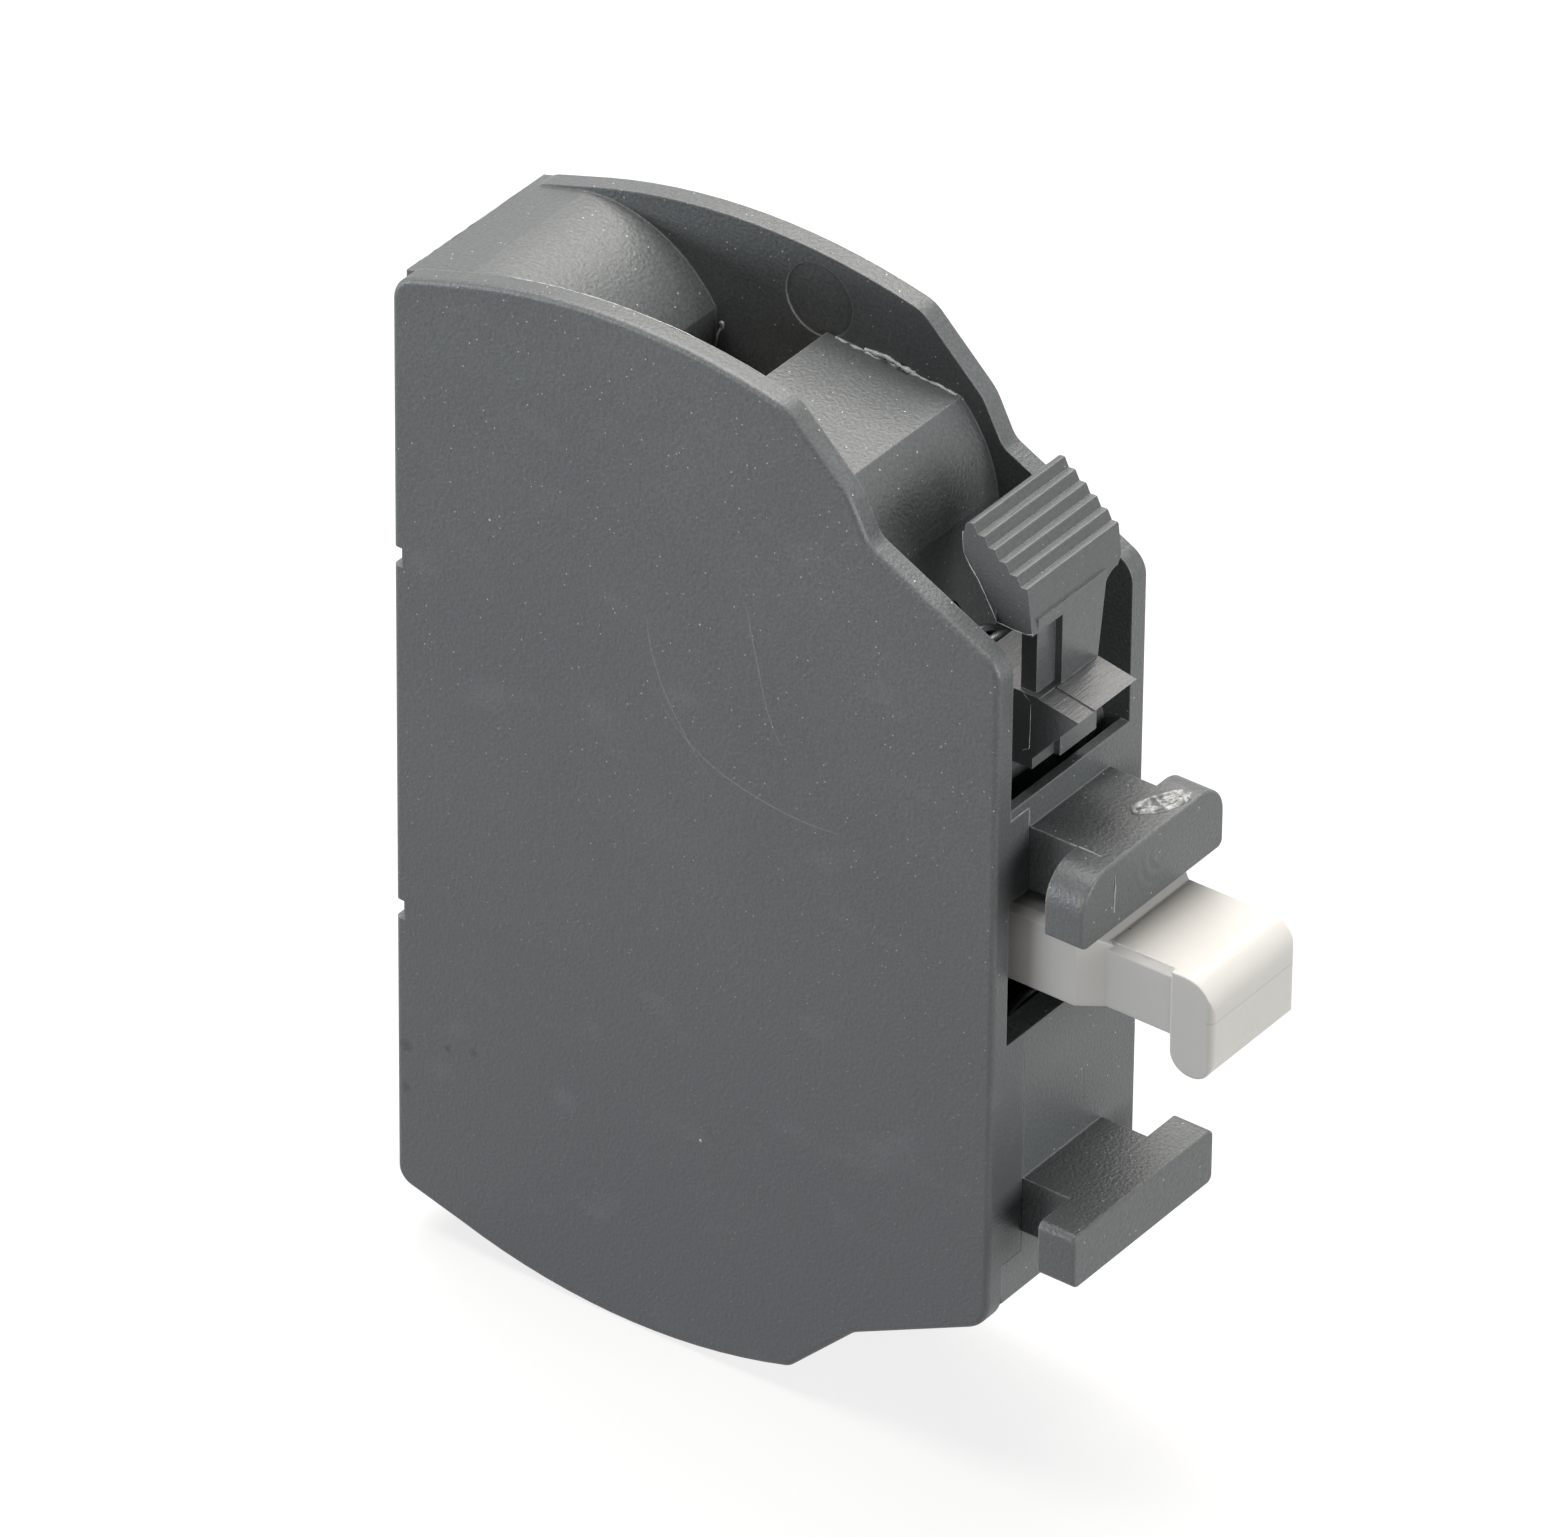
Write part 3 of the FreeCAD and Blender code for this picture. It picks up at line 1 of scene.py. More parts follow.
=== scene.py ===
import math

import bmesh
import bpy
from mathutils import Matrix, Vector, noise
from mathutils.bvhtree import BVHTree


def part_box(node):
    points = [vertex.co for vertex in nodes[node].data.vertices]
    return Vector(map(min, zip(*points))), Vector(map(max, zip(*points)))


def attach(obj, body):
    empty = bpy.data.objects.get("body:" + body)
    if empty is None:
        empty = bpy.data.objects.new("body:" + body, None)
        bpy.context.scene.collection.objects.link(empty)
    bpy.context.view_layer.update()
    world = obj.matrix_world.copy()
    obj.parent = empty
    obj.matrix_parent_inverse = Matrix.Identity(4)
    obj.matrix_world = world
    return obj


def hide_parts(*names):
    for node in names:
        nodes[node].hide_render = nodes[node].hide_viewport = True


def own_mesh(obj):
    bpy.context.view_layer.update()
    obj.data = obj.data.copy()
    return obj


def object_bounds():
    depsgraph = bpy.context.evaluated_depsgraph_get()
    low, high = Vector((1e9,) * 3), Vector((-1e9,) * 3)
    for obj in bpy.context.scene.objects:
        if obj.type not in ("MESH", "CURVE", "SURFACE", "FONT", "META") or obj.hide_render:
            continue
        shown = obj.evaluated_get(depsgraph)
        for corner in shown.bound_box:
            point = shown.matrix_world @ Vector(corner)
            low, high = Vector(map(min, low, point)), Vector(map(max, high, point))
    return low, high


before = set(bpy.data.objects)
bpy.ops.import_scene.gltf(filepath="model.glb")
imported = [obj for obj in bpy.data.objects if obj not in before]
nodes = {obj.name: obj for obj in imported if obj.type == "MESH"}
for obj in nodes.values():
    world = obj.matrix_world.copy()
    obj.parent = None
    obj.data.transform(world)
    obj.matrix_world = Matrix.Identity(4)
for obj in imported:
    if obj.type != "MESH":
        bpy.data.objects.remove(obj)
CAD_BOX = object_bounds()

# %% [markdown]
# # A clip-on auxiliary contact block
#
# The object is a slim block of dark moulded plastic that hooks onto the front of a contactor.
# Its solids come from the frame that is loaded above. This lesson dresses them: real surfaces
# for plastic and metal, wound springs, cut screw threads, and the small traces that moulding
# leaves, such as flash, a gate scar and parting lines. All of those pieces ride on the frame.

MM = 0.001
scene = bpy.context.scene
print("CAD nodes:", len(nodes), "box in mm:", [[round(c / MM, 2) for c in corner] for corner in CAD_BOX])

# %% [markdown]
# ## Colours
#
# A colour is easiest to judge as the hex value that a screen shows, but Blender calculates with
# light, so one function turns sRGB hex into linear numbers.

# %% Hex to linear


def colour(hex_value):
    """Linear colour with alpha from an sRGB hex text such as "5b6064"."""
    parts = [int(hex_value[i:i + 2], 16) / 255 for i in (0, 2, 4)]
    linear = [c / 12.92 if c <= 0.04045 else ((c + 0.055) / 1.055) ** 2.4 for c in parts]
    return (*linear, 1.0)


print("808080 sends back", round(colour("808080")[0], 2), "of the light that white does")

# %% [markdown]
# ## Nodes
#
# A material is a tree of nodes. One small function adds a node with its settings and links, so
# that each material reads as a list. Plain values fill the inputs that the node shows, in their
# order, and the rest go by name. A whole node can be given too. It stands for the first output
# that it shows.

# %% One function for every node
MATH, VECTOR_MATH = "ShaderNodeMath", "ShaderNodeVectorMath"
PLUS, MINUS, TIMES, MOST, LEAST = (
    {"operation": name} for name in ("ADD", "SUBTRACT", "MULTIPLY", "MAXIMUM", "MINIMUM"))


def add_node(tree, kind, settings=None, *values, **inputs):
    """Adds a node. Values fill the shown inputs in order, and the others are found by name."""
    node = tree.nodes.new(kind)
    for name, value in (settings or {}).items():
        setattr(node, name, value)
    filled = list(zip([socket for socket in node.inputs if socket.enabled], values))
    filled += [(node.inputs[name.replace("_", " ")], value) for name, value in inputs.items()]
    for socket, value in filled:
        if isinstance(value, bpy.types.Node):
            value = next(output for output in value.outputs if output.enabled)
        if isinstance(value, bpy.types.NodeSocket):
            tree.links.new(value, socket)
        else:
            socket.default_value = value
    return node


def new_material(name):
    """A node material with nothing in it yet, and the tree to fill."""
    material = bpy.data.materials.new(name)
    material.use_nodes = True
    material.node_tree.nodes.clear()
    return material, material.node_tree


print("short names for nodes:", MATH, VECTOR_MATH)

# %% [markdown]
# ## The camera
#
# The photograph was taken with a long lens from above and behind. The straight edges of the
# two side plates gave the camera: where it stands, how it is turned and how strong the lens is.

# %% Camera
CAMERA_PLACE = Vector((429.074, 301.225, 362.220)) * MM
CAMERA_RIGHT = Vector((-0.59670328, 0.80242039, 0.00816778))
CAMERA_UP = Vector((-0.44558282, -0.33977917, 0.82825483))
PHOTO_WIDTH_PX = 1563
FOCAL_LENGTH_PX = 16000
SENSOR_WIDTH = 36.0

camera_data = bpy.data.cameras.new("camera")
camera = bpy.data.objects.new("camera", camera_data)
scene.collection.objects.link(camera)
camera_axes = Matrix((CAMERA_RIGHT, CAMERA_UP, CAMERA_RIGHT.cross(CAMERA_UP))).transposed()
camera.matrix_world = Matrix.Translation(CAMERA_PLACE) @ camera_axes.to_4x4()
camera_data.sensor_width = SENSOR_WIDTH
camera_data.lens = SENSOR_WIDTH * FOCAL_LENGTH_PX / PHOTO_WIDTH_PX
camera_data.clip_start = 0.01
camera_data.clip_end = 10.0
scene.camera = camera
print("lens:", round(camera_data.lens, 1), "mm")

# %% [markdown]
# ## The floor
#
# The picture is a product shot on white paper that sweeps up behind the object. Here the paper
# is one flat square at the foot of the block, so large that its edge is out of the picture.

# %% Floor
FLOOR_HEIGHT = CAD_BOX[0].z
FLOOR_REACH = 3.0
corners = [(x * FLOOR_REACH, y * FLOOR_REACH, FLOOR_HEIGHT) for x, y in ((-1, -1), (1, -1), (1, 1), (-1, 1))]
floor_mesh = bpy.data.meshes.new("floor")
floor_mesh.from_pydata(corners, [], [(0, 1, 2, 3)])
floor = bpy.data.objects.new("floor", floor_mesh)
scene.collection.objects.link(floor)
print("floor at", round(FLOOR_HEIGHT / MM, 2), "mm")

# %% [markdown]
# The plate of the real block gets darker towards its foot, so the ground throws hardly any
# light back at it. White paper would. So the floor is pale only for rays that look at it, and
# it is grey for the light that it sends back. A mask tells the two kinds of ray apart.

# %% Rays that look


def looked_at(tree):
    """1 for rays that look straight, by reflection or through glass, and 0 for light."""
    rays = add_node(tree, "ShaderNodeLightPath").outputs
    direct = add_node(tree, MATH, MOST, rays["Is Camera Ray"], rays["Is Transmission Ray"])
    return add_node(tree, MATH, MOST, direct, rays["Is Glossy Ray"])


# Paper: a matt pale sheet. A part of it glows, so it is white to the eye and still takes a shadow.
GLOW_SHARE = 0.8
floor_paint, tree = new_material("pale paper sweep")
paper = add_node(tree, "ShaderNodeBsdfDiffuse", Color=colour("f4f4f4"))
glow = add_node(tree, "ShaderNodeEmission", Color=colour("ffffff"), Strength=1.0)
sweep = add_node(tree, "ShaderNodeMixShader", None, GLOW_SHARE, paper, glow)
grey = add_node(tree, "ShaderNodeBsdfDiffuse", Color=colour("4a4a4a"))
either = add_node(tree, "ShaderNodeMixShader", None, looked_at(tree), grey, sweep)
add_node(tree, "ShaderNodeOutputMaterial", None, either)
floor_mesh.materials.append(floor_paint)
print("floor material:", floor_paint.name)

# %% [markdown]
# ## The room
#
# The world does the same for the background: white to look at, but nearly dark as a lamp, so
# that the channel and the hollow round the latch stay as deep as they are in the picture.

# %% World
ROOM_STRENGTH = 0.05
world = bpy.data.worlds.new("soft studio")
scene.world = world
world.use_nodes = True
tree = world.node_tree
tree.nodes.clear()
room = add_node(tree, "ShaderNodeBackground", Color=colour("ffffff"), Strength=ROOM_STRENGTH)
white = add_node(tree, "ShaderNodeBackground", Color=colour("ffffff"), Strength=1.0)
add_node(tree, "ShaderNodeOutputWorld", None,
         add_node(tree, "ShaderNodeMixShader", None, looked_at(tree), room, white))
print("room strength:", ROOM_STRENGTH)

# %% [markdown]
# ## The lamps
#
# The light is soft and comes from above and in front of the block, so the hooks' stems lie in
# shade. A second box behind its left shoulder puts the sheen on the roof. Two weak ones, low
# at the back and low at the side, lift the rear wall and the plate.

# %% Lamps
LAMP_AIM = Vector((0, -12, 0)) * MM


def softbox(name, place, width, height, power, tint):
    """A rectangular lamp that looks at the object from place, in metres."""
    data = bpy.data.lights.new(name, "AREA")
    data.shape = "RECTANGLE"
    data.size = width
    data.size_y = height
    data.energy = power
    data.color = colour(tint)[:3]
    lamp = bpy.data.objects.new(name, data)
    lamp.location = place
    lamp.rotation_euler = (LAMP_AIM - Vector(place)).to_track_quat("-Z", "Y").to_euler()
    scene.collection.objects.link(lamp)
    print(name, power, "W")


softbox("overhead", (-0.03, -0.27, 0.75), 0.6, 0.6, 9.0, "fffbf6")
softbox("back_sheen", (-0.4, -0.2, 0.7), 0.6, 0.6, 6.2, "fffaf3")
softbox("rear_fill", (0.02, 0.78, 0.14), 0.7, 0.4, 7.4, "fffefb")
softbox("side_fill", (0.5, -0.62, 0.05), 0.7, 0.14, 5.6, "f8fbff")
scene.view_settings.view_transform = "Standard"

# %% [markdown]
# ## Patterns from real sizes
#
# The casing is glass-filled nylon from a spark-eroded mould. Glass fibres glint in it as tiny
# pale specks, and carbon pigment that is not fully mixed leaves a few dark ones. A cell pattern
# places them: one dot in a share of the cells. A fibre's end is about 0.015 mm across, too fine
# for the render, so the specks are drawn at 0.045 mm.

# %% Specks
NOISE, MAP_RANGE = "ShaderNodeTexNoise", "ShaderNodeMapRange"


def per_metre(millimetres):
    """Scale of a texture whose features are this many millimetres apart."""
    return 1 / (millimetres * MM)


def specks(tree, place, spacing, radius, chance):
    """1 inside small dots about spacing apart, of which only a share by chance is there."""
    cells = add_node(tree, "ShaderNodeTexVoronoi", Vector=place, Scale=per_metre(spacing))
    dot = add_node(tree, MAP_RANGE, Value=cells, From_Min=radius / spacing, From_Max=0.4 * radius / spacing)
    red = add_node(tree, "ShaderNodeSeparateColor", Color=cells.outputs["Color"])
    kept = add_node(tree, MATH, {"operation": "LESS_THAN"}, red, chance)
    return add_node(tree, MATH, TIMES, dot, kept)


print("a pattern of 0.16 mm has the scale", round(per_metre(0.16)))

# %% [markdown]
# Colours are laid over each other like thin coats: each coat has a mask that says where it
# lies, a strength and a colour. The pigment itself drifts a little over some 9 mm, and clouds
# finely where the fibres lie under the skin. Those clouds are drawn at 0.13 mm, about twice
# as coarse as they are.

# %% Coats of colour


def layered(tree, paint, coats):
    """Lays coats over a paint, each a mask, a strength and a hex colour, with the last on top."""
    for mask, strength, tone in coats:
        share = add_node(tree, MATH, TIMES, mask, strength)
        paint = add_node(tree, "ShaderNodeMix", {"data_type": "RGBA"}, share, paint, colour(tone))
    return paint


def moulded_colour(tree, place, tone, shade, pale, dark):
    """Pigment that drifts from tone to shade over a few millimetres, with pale and dark specks."""
    drift = add_node(tree, NOISE, Vector=place, Scale=per_metre(9), Detail=3.0)
    even = add_node(tree, MAP_RANGE, Value=drift, From_Min=0.35, From_Max=0.65)
    fine = add_node(tree, NOISE, Vector=place, Scale=per_metre(0.13), Detail=1.0)
    cloud = add_node(tree, MAP_RANGE, Value=fine, From_Min=0.3, From_Max=0.7, To_Min=0.0, To_Max=0.45)
    return layered(tree, colour(tone), [
        (even, 1.0, shade), (cloud, 1.0, dark),
        (specks(tree, place, 0.45, 0.045, 0.5), 1.0, pale),
        (specks(tree, place, 0.55, 0.045, 0.4), 1.0, dark)])


print("each coat takes two nodes")

# %% [markdown]
# ## Rounded edges and a painted edge highlight
#
# A mould's edges wear round. A bevel node rounds the light over each sharp edge. Where the rounded normal
# turns away from the true one, there is an edge, so the two together also give a mask. The materials
# paint a pale coat along it: a painted highlight for the thin pale rails of light on every edge.

# %% Rounded edges
STILL_FLAT, FULLY_ROUND = 0.995, 0.86


def rounded_edge(tree, width):
    """The normal with each sharp edge rounded by a width in millimetres, and a mask of the edges."""
    rounded = add_node(tree, "ShaderNodeBevel", {"samples": 4}, Radius=width * MM)
    flat = add_node(tree, "ShaderNodeNewGeometry").outputs["Normal"]
    alike = add_node(tree, VECTOR_MATH, {"operation": "DOT_PRODUCT"}, rounded, flat)
    return rounded, add_node(tree, MAP_RANGE, Value=alike, From_Min=STILL_FLAT, From_Max=FULLY_ROUND)


print("an edge is fully pale where its normal turns by", round(math.degrees(math.acos(FULLY_ROUND))), "degrees")

# %% [markdown]
# ## Marks on the outer faces
#
# A thin scratch or a flow line is a path across the plate. A float curve holds the path, the
# distance from it gives the line, and the line fades out at both ends.

# %% Strokes
SMOOTH = {"interpolation_type": "SMOOTHSTEP"}
SIZE_OF = {"operation": "ABSOLUTE"}


def stroke(tree, along, across, points, width):
    """1 on a thin line through points of (along, across) in millimetres, 0 beside it."""
    first, last = points[0][0], points[-1][0]
    low, high = (pick(p[1] for p in points) for pick in (min, max))
    share = add_node(tree, MAP_RANGE, Value=along, From_Min=first * MM, From_Max=last * MM)
    path = add_node(tree, "ShaderNodeFloatCurve", Value=share)
    knots = path.mapping.curves[0].points
    for a, c in points[1:-1]:
        knots.new((a - first) / (last - first), (c - low) / (high - low))
    knots[0].location = (0, (points[0][1] - low) / (high - low))
    knots[len(knots) - 1].location = (1, (points[-1][1] - low) / (high - low))
    path.mapping.update()
    line = add_node(tree, MATH, {"operation": "MULTIPLY_ADD"}, path, (high - low) * MM, low * MM)
    gap = add_node(tree, MATH, SIZE_OF, add_node(tree, MATH, MINUS, across, line))
    core = add_node(tree, MAP_RANGE, SMOOTH, Value=gap, From_Min=width * MM, From_Max=0.0)
    off_middle = add_node(tree, MATH, SIZE_OF, add_node(tree, MATH, MINUS, share, 0.5))
    ends = add_node(tree, MAP_RANGE, Value=off_middle, From_Min=0.5, From_Max=0.32)
    return add_node(tree, MATH, TIMES, core, ends)


print("a stroke fades over its last", round((0.5 - 0.32) * 100), "percent at each end")

# %% [markdown]
# A spot is simpler: the distance from its centre, turned into a soft dot.

# %% Spots
DISTANCE = {"operation": "DISTANCE"}


def spot(tree, place, centre, radius):
    """1 at a centre in millimetres, falling to 0 at the radius."""
    reach = add_node(tree, VECTOR_MATH, DISTANCE, place, Vector(centre) * MM)
    return add_node(tree, MAP_RANGE, SMOOTH, Value=reach, From_Min=radius * MM, From_Max=0.0)


print("a spot takes two nodes")

# %% [markdown]
# ## The casing's nylon
#
# Glass-filled nylon, moulded: matt and blue-grey, with a broad soft sheen. Spark erosion leaves
# a fine grain of about 0.05 mm on it, drawn here at 0.16 mm so that it shows. The rear bar of
# the upper hook froze last, beside its gate, and the melt left rings there. They are a shallow
# sine of the distance from the place where the flow stopped.

# %% Grain and rings of the casing
NYLON = ("575b5c", "4f5355", "bcbdbb", "2c2d2e")
NYLON_GRAIN, GRAIN_DEPTH = 0.16, 0.03
# The pale edge tone is a painted highlight.
EDGE_ROUNDING, EDGE_HIGHLIGHT_TONE = 0.11, "a2a4a3"
RING_CENTRE, RING_SPACING = (-0.6, 4.15, 5.5), 0.55
housing_plastic, tree = new_material("moulded glass filled nylon")
place = add_node(tree, "ShaderNodeTexCoord").outputs["Object"]
grain = add_node(tree, NOISE, Vector=place, Scale=per_metre(NYLON_GRAIN), Detail=2.0)
reach = add_node(tree, VECTOR_MATH, DISTANCE, place, Vector(RING_CENTRE) * MM)
phase = add_node(tree, MATH, TIMES, reach, 2 * math.pi * per_metre(RING_SPACING))
rings = add_node(tree, MATH, {"operation": "SINE"}, phase)
near_bar = add_node(tree, MATH, TIMES, spot(tree, place, (0.3, 4.15, 4.7), 1.7), 0.5)
height = add_node(tree, MATH, {"operation": "MULTIPLY_ADD"}, rings, near_bar, grain)
print("nodes for the casing's relief:", len(tree.nodes))

# %% [markdown]
# The shader puts colour and relief together. Nylon's index of refraction is 1.53.

# %% Casing material
normal, edge = rounded_edge(tree, EDGE_ROUNDING)
relief = add_node(tree, "ShaderNodeBump", Distance=GRAIN_DEPTH * MM, Height=height, Normal=normal, Strength=1.0)
# The pale coat along the edges is a painted highlight.
paint = layered(tree, moulded_colour(tree, place, *NYLON), [(edge, 0.45, EDGE_HIGHLIGHT_TONE)])
shader = add_node(tree, "ShaderNodeBsdfPrincipled", Base_Color=paint, Roughness=0.44, IOR=1.53, Normal=relief)
add_node(tree, "ShaderNodeOutputMaterial", None, shader)
nodes["housing"].data.materials[0] = housing_plastic
print(housing_plastic.name, "has", len(tree.nodes), "nodes")

# %% [markdown]
# ## The side cover's nylon
#
# The same nylon, but this face is handled. Two melt fronts met in it, along a dark wavy line.
# The face is also painted darker towards its foot: a painted shade.

# %% Painted shade at the foot, and flow line of the side cover
cover_plastic, tree = new_material("moulded glass filled nylon, handled face")
place = add_node(tree, "ShaderNodeTexCoord").outputs["Object"]
axes = add_node(tree, "ShaderNodeSeparateXYZ", Vector=place).outputs
painted_foot_shade = add_node(tree, MAP_RANGE, SMOOTH, Value=axes["Z"], From_Min=20 * MM, From_Max=-18 * MM)
flow = stroke(tree, axes["Y"], axes["Z"],
              [(-29.8, -10.7), (-27.7, -9.4), (-26.2, -8.4), (-23.8, -7.9), (-21.5, -7.7),
               (-18.0, -10.2), (-14.4, -12.6), (-11.4, -14.8), (-7.8, -15.0), (-4.9, -13.7)], 0.3)
# The first coat is painted shade, darker towards the foot.
coats = [(painted_foot_shade, 0.8, "424548"), (flow, 0.3, "3f4244")]
print("coats so far:", len(coats))

# %% [markdown]
# Handling left curved pale scratches. Brown specks near the front edge are plastic that stayed
# in the barrel too long and scorched, and a few pale nicks show the glass.

# %% Scratches, scorched specks and nicks
scratches = [
    (axes["Z"], axes["Y"], [(4.05, -13.8), (6.2, -15.55), (8.6, -16.8), (11.0, -17.3)]),
    (axes["Y"], axes["Z"], [(-17.1, 9.2), (-15.0, 5.5), (-11.0, 4.2), (-7.1, 4.26)]),
    (axes["Z"], axes["Y"], [(6.8, -10.1), (8.3, -11.1), (10.9, -11.8), (13.5, -12.4)]),
]
coats += [(stroke(tree, along, across, points, 0.06), 0.22, "a9acad") for along, across, points in scratches]
scorched = [(-29.5, -15.3, 0.5), (-27.3, -14.6, 0.3), (-26.0, -14.2, 0.32), (-29.5, -17.4, 0.35)]
coats += [(spot(tree, place, (5, y, z), radius), 0.9, "2e2624") for y, z, radius in scorched]
nicks = [(-14.6, 11.4, 0.06), (-14.4, -13.6, 0.1), (-25.1, 12.2, 0.08)]
coats += [(spot(tree, place, (5, y, z), radius), 1.0, "d8d8d6") for y, z, radius in nicks]
print("scratches, scorched specks, nicks:", len(scratches), len(scorched), len(nicks))

# %% [markdown]
# Rubbing has polished the grain in faint patches, slightly drawn out along the plate, and one
# fingertip left a dull smudge.

# %% Side cover material
smears = add_node(tree, "ShaderNodeMapping", Vector=place, Rotation=(0.6, 0.0, 0.0), Scale=(1.0, 0.6, 1.0))
rubbed = add_node(tree, NOISE, Vector=smears, Scale=per_metre(2.2), Detail=5.0)
scuffs = add_node(tree, MAP_RANGE, Value=rubbed, From_Min=0.6, From_Max=0.76)
normal, edge = rounded_edge(tree, EDGE_ROUNDING)
# The last coat is a painted highlight along the edges.
coats += [(scuffs, 0.09, "8d9092"), (spot(tree, place, (5, -21.3, -14.5), 0.9), 0.12, "84878a"),
          (edge, 0.45, EDGE_HIGHLIGHT_TONE)]
paint = layered(tree, moulded_colour(tree, place, *NYLON), coats)
grain = add_node(tree, NOISE, Vector=place, Scale=per_metre(NYLON_GRAIN), Detail=2.0)
relief = add_node(tree, "ShaderNodeBump", Distance=GRAIN_DEPTH * MM, Height=grain, Normal=normal, Strength=1.0)
shader = add_node(tree, "ShaderNodeBsdfPrincipled", Base_Color=paint, Roughness=0.46, IOR=1.53, Normal=relief)
add_node(tree, "ShaderNodeOutputMaterial", None, shader)
nodes["side_cover"].data.materials[0] = cover_plastic
print(cover_plastic.name, "has", len(tree.nodes), "nodes and", len(coats), "coats")

# %% [markdown]
# ## The latch's nylon
#
# The latch bends each time it is pressed, so it is nylon without glass: smoother, with a
# tighter gloss, and its specks are closer to its own tone. Its thumb pad and wedge came from a
# brushed insert, so a long thin noise, stretched across the latch, gives faint lines. Brushing
# is some 0.03 mm fine and is drawn at 0.12 mm.

# %% Latch material
latch_plastic, tree = new_material("moulded unfilled nylon")
place = add_node(tree, "ShaderNodeTexCoord").outputs["Object"]
brushed = add_node(tree, "ShaderNodeMapping", Vector=place, Scale=(0.12, 1.0, 1.0))
lines = add_node(tree, NOISE, Vector=brushed, Scale=per_metre(0.12), Detail=2.0)
gloss = add_node(tree, MAP_RANGE, Value=lines, To_Min=0.24, To_Max=0.42)
normal, edge = rounded_edge(tree, 0.045)
relief = add_node(tree, "ShaderNodeBump", Distance=0.012 * MM, Height=lines, Normal=normal, Strength=1.0)
pigment = moulded_colour(tree, place, "505355", "484b4d", "8e9091", "323334")
# The pale coat along the edges is a painted highlight.
paint = layered(tree, pigment, [(edge, 0.35, "a8aaaa")])
shader = add_node(tree, "ShaderNodeBsdfPrincipled", Base_Color=paint, Roughness=gloss, IOR=1.53, Normal=relief)
add_node(tree, "ShaderNodeOutputMaterial", None, shader)
nodes["release_latch"].data.materials[0] = latch_plastic
print(latch_plastic.name, "has", len(tree.nodes), "nodes")

# %% [markdown]
# ## The slider's polyester
#
# The slider is natural polyester, chosen because it slides well. Two mould halves met at one
# height round its nose, and left a fine step there: a line in the colour and in the relief.

# %% Parting line of the slider
PARTING_HEIGHT, PARTING_WIDTH, NOSE_START = 0.83 * MM, 0.05 * MM, 8.8 * MM
slider_plastic, tree = new_material("moulded natural polyester")
place = add_node(tree, "ShaderNodeTexCoord").outputs["Object"]
axes = add_node(tree, "ShaderNodeSeparateXYZ", Vector=place).outputs
gap = add_node(tree, MATH, SIZE_OF, add_node(tree, MATH, MINUS, axes["Z"], PARTING_HEIGHT))
line = add_node(tree, MAP_RANGE, Value=gap, From_Min=PARTING_WIDTH, From_Max=0.0)
on_nose = add_node(tree, MATH, {"operation": "GREATER_THAN"}, axes["Y"], NOSE_START)
seam = add_node(tree, MATH, TIMES, line, on_nose)
print("nodes for the parting line:", len(tree.nodes))

# %% [markdown]
# Polyester without pigment is warm off-white and satin. It is slightly clear, so light bleeds
# a fraction of a millimetre under the skin and softens the edges. A few dark specks show. The
# skin's grain is drawn at 0.3 mm, much coarser than real, to break the gloss up a little.

# %% Slider material
SKIN_CLARITY = (0.0008, 0.0007, 0.0006)
cloud = add_node(tree, NOISE, Vector=place, Scale=per_metre(2.5), Detail=2.0)
skin = add_node(tree, NOISE, Vector=place, Scale=per_metre(0.3), Detail=2.0)
height = add_node(tree, MATH, MINUS, skin, seam)
normal, edge = rounded_edge(tree, 0.12)
relief = add_node(tree, "ShaderNodeBump", Distance=0.006 * MM, Height=height, Normal=normal, Strength=1.0)
# The last coat is a painted highlight along the edges.
paint = layered(tree, colour("bfbebb"), [
    (cloud, 1.0, "b8b7b4"), (specks(tree, place, 1.3, 0.07, 0.25), 1.0, "77736d"),
    (seam, 0.5, "8f8c88"), (edge, 0.5, "e2e1df")])
shader = add_node(tree, "ShaderNodeBsdfPrincipled", Base_Color=paint, Roughness=0.42, IOR=1.57, Normal=relief,
                  Subsurface_Weight=0.15, Subsurface_Radius=SKIN_CLARITY, Subsurface_Scale=1.0)
add_node(tree, "ShaderNodeOutputMaterial", None, shader)
nodes["actuator_slider"].data.materials[0] = slider_plastic
print(slider_plastic.name, "has", len(tree.nodes), "nodes")

# %% [markdown]
# ## The metals
#
# Each metal has a colour, a tarnish that clouds it over some 1.6 mm, and the lines that its
# shaping left, stretched along one axis. The real lines are a few hundredths of a millimetre
# apart. They are drawn at 0.1 to 0.25 mm. Metals keep the default index of refraction.

# %% How a metal is made up


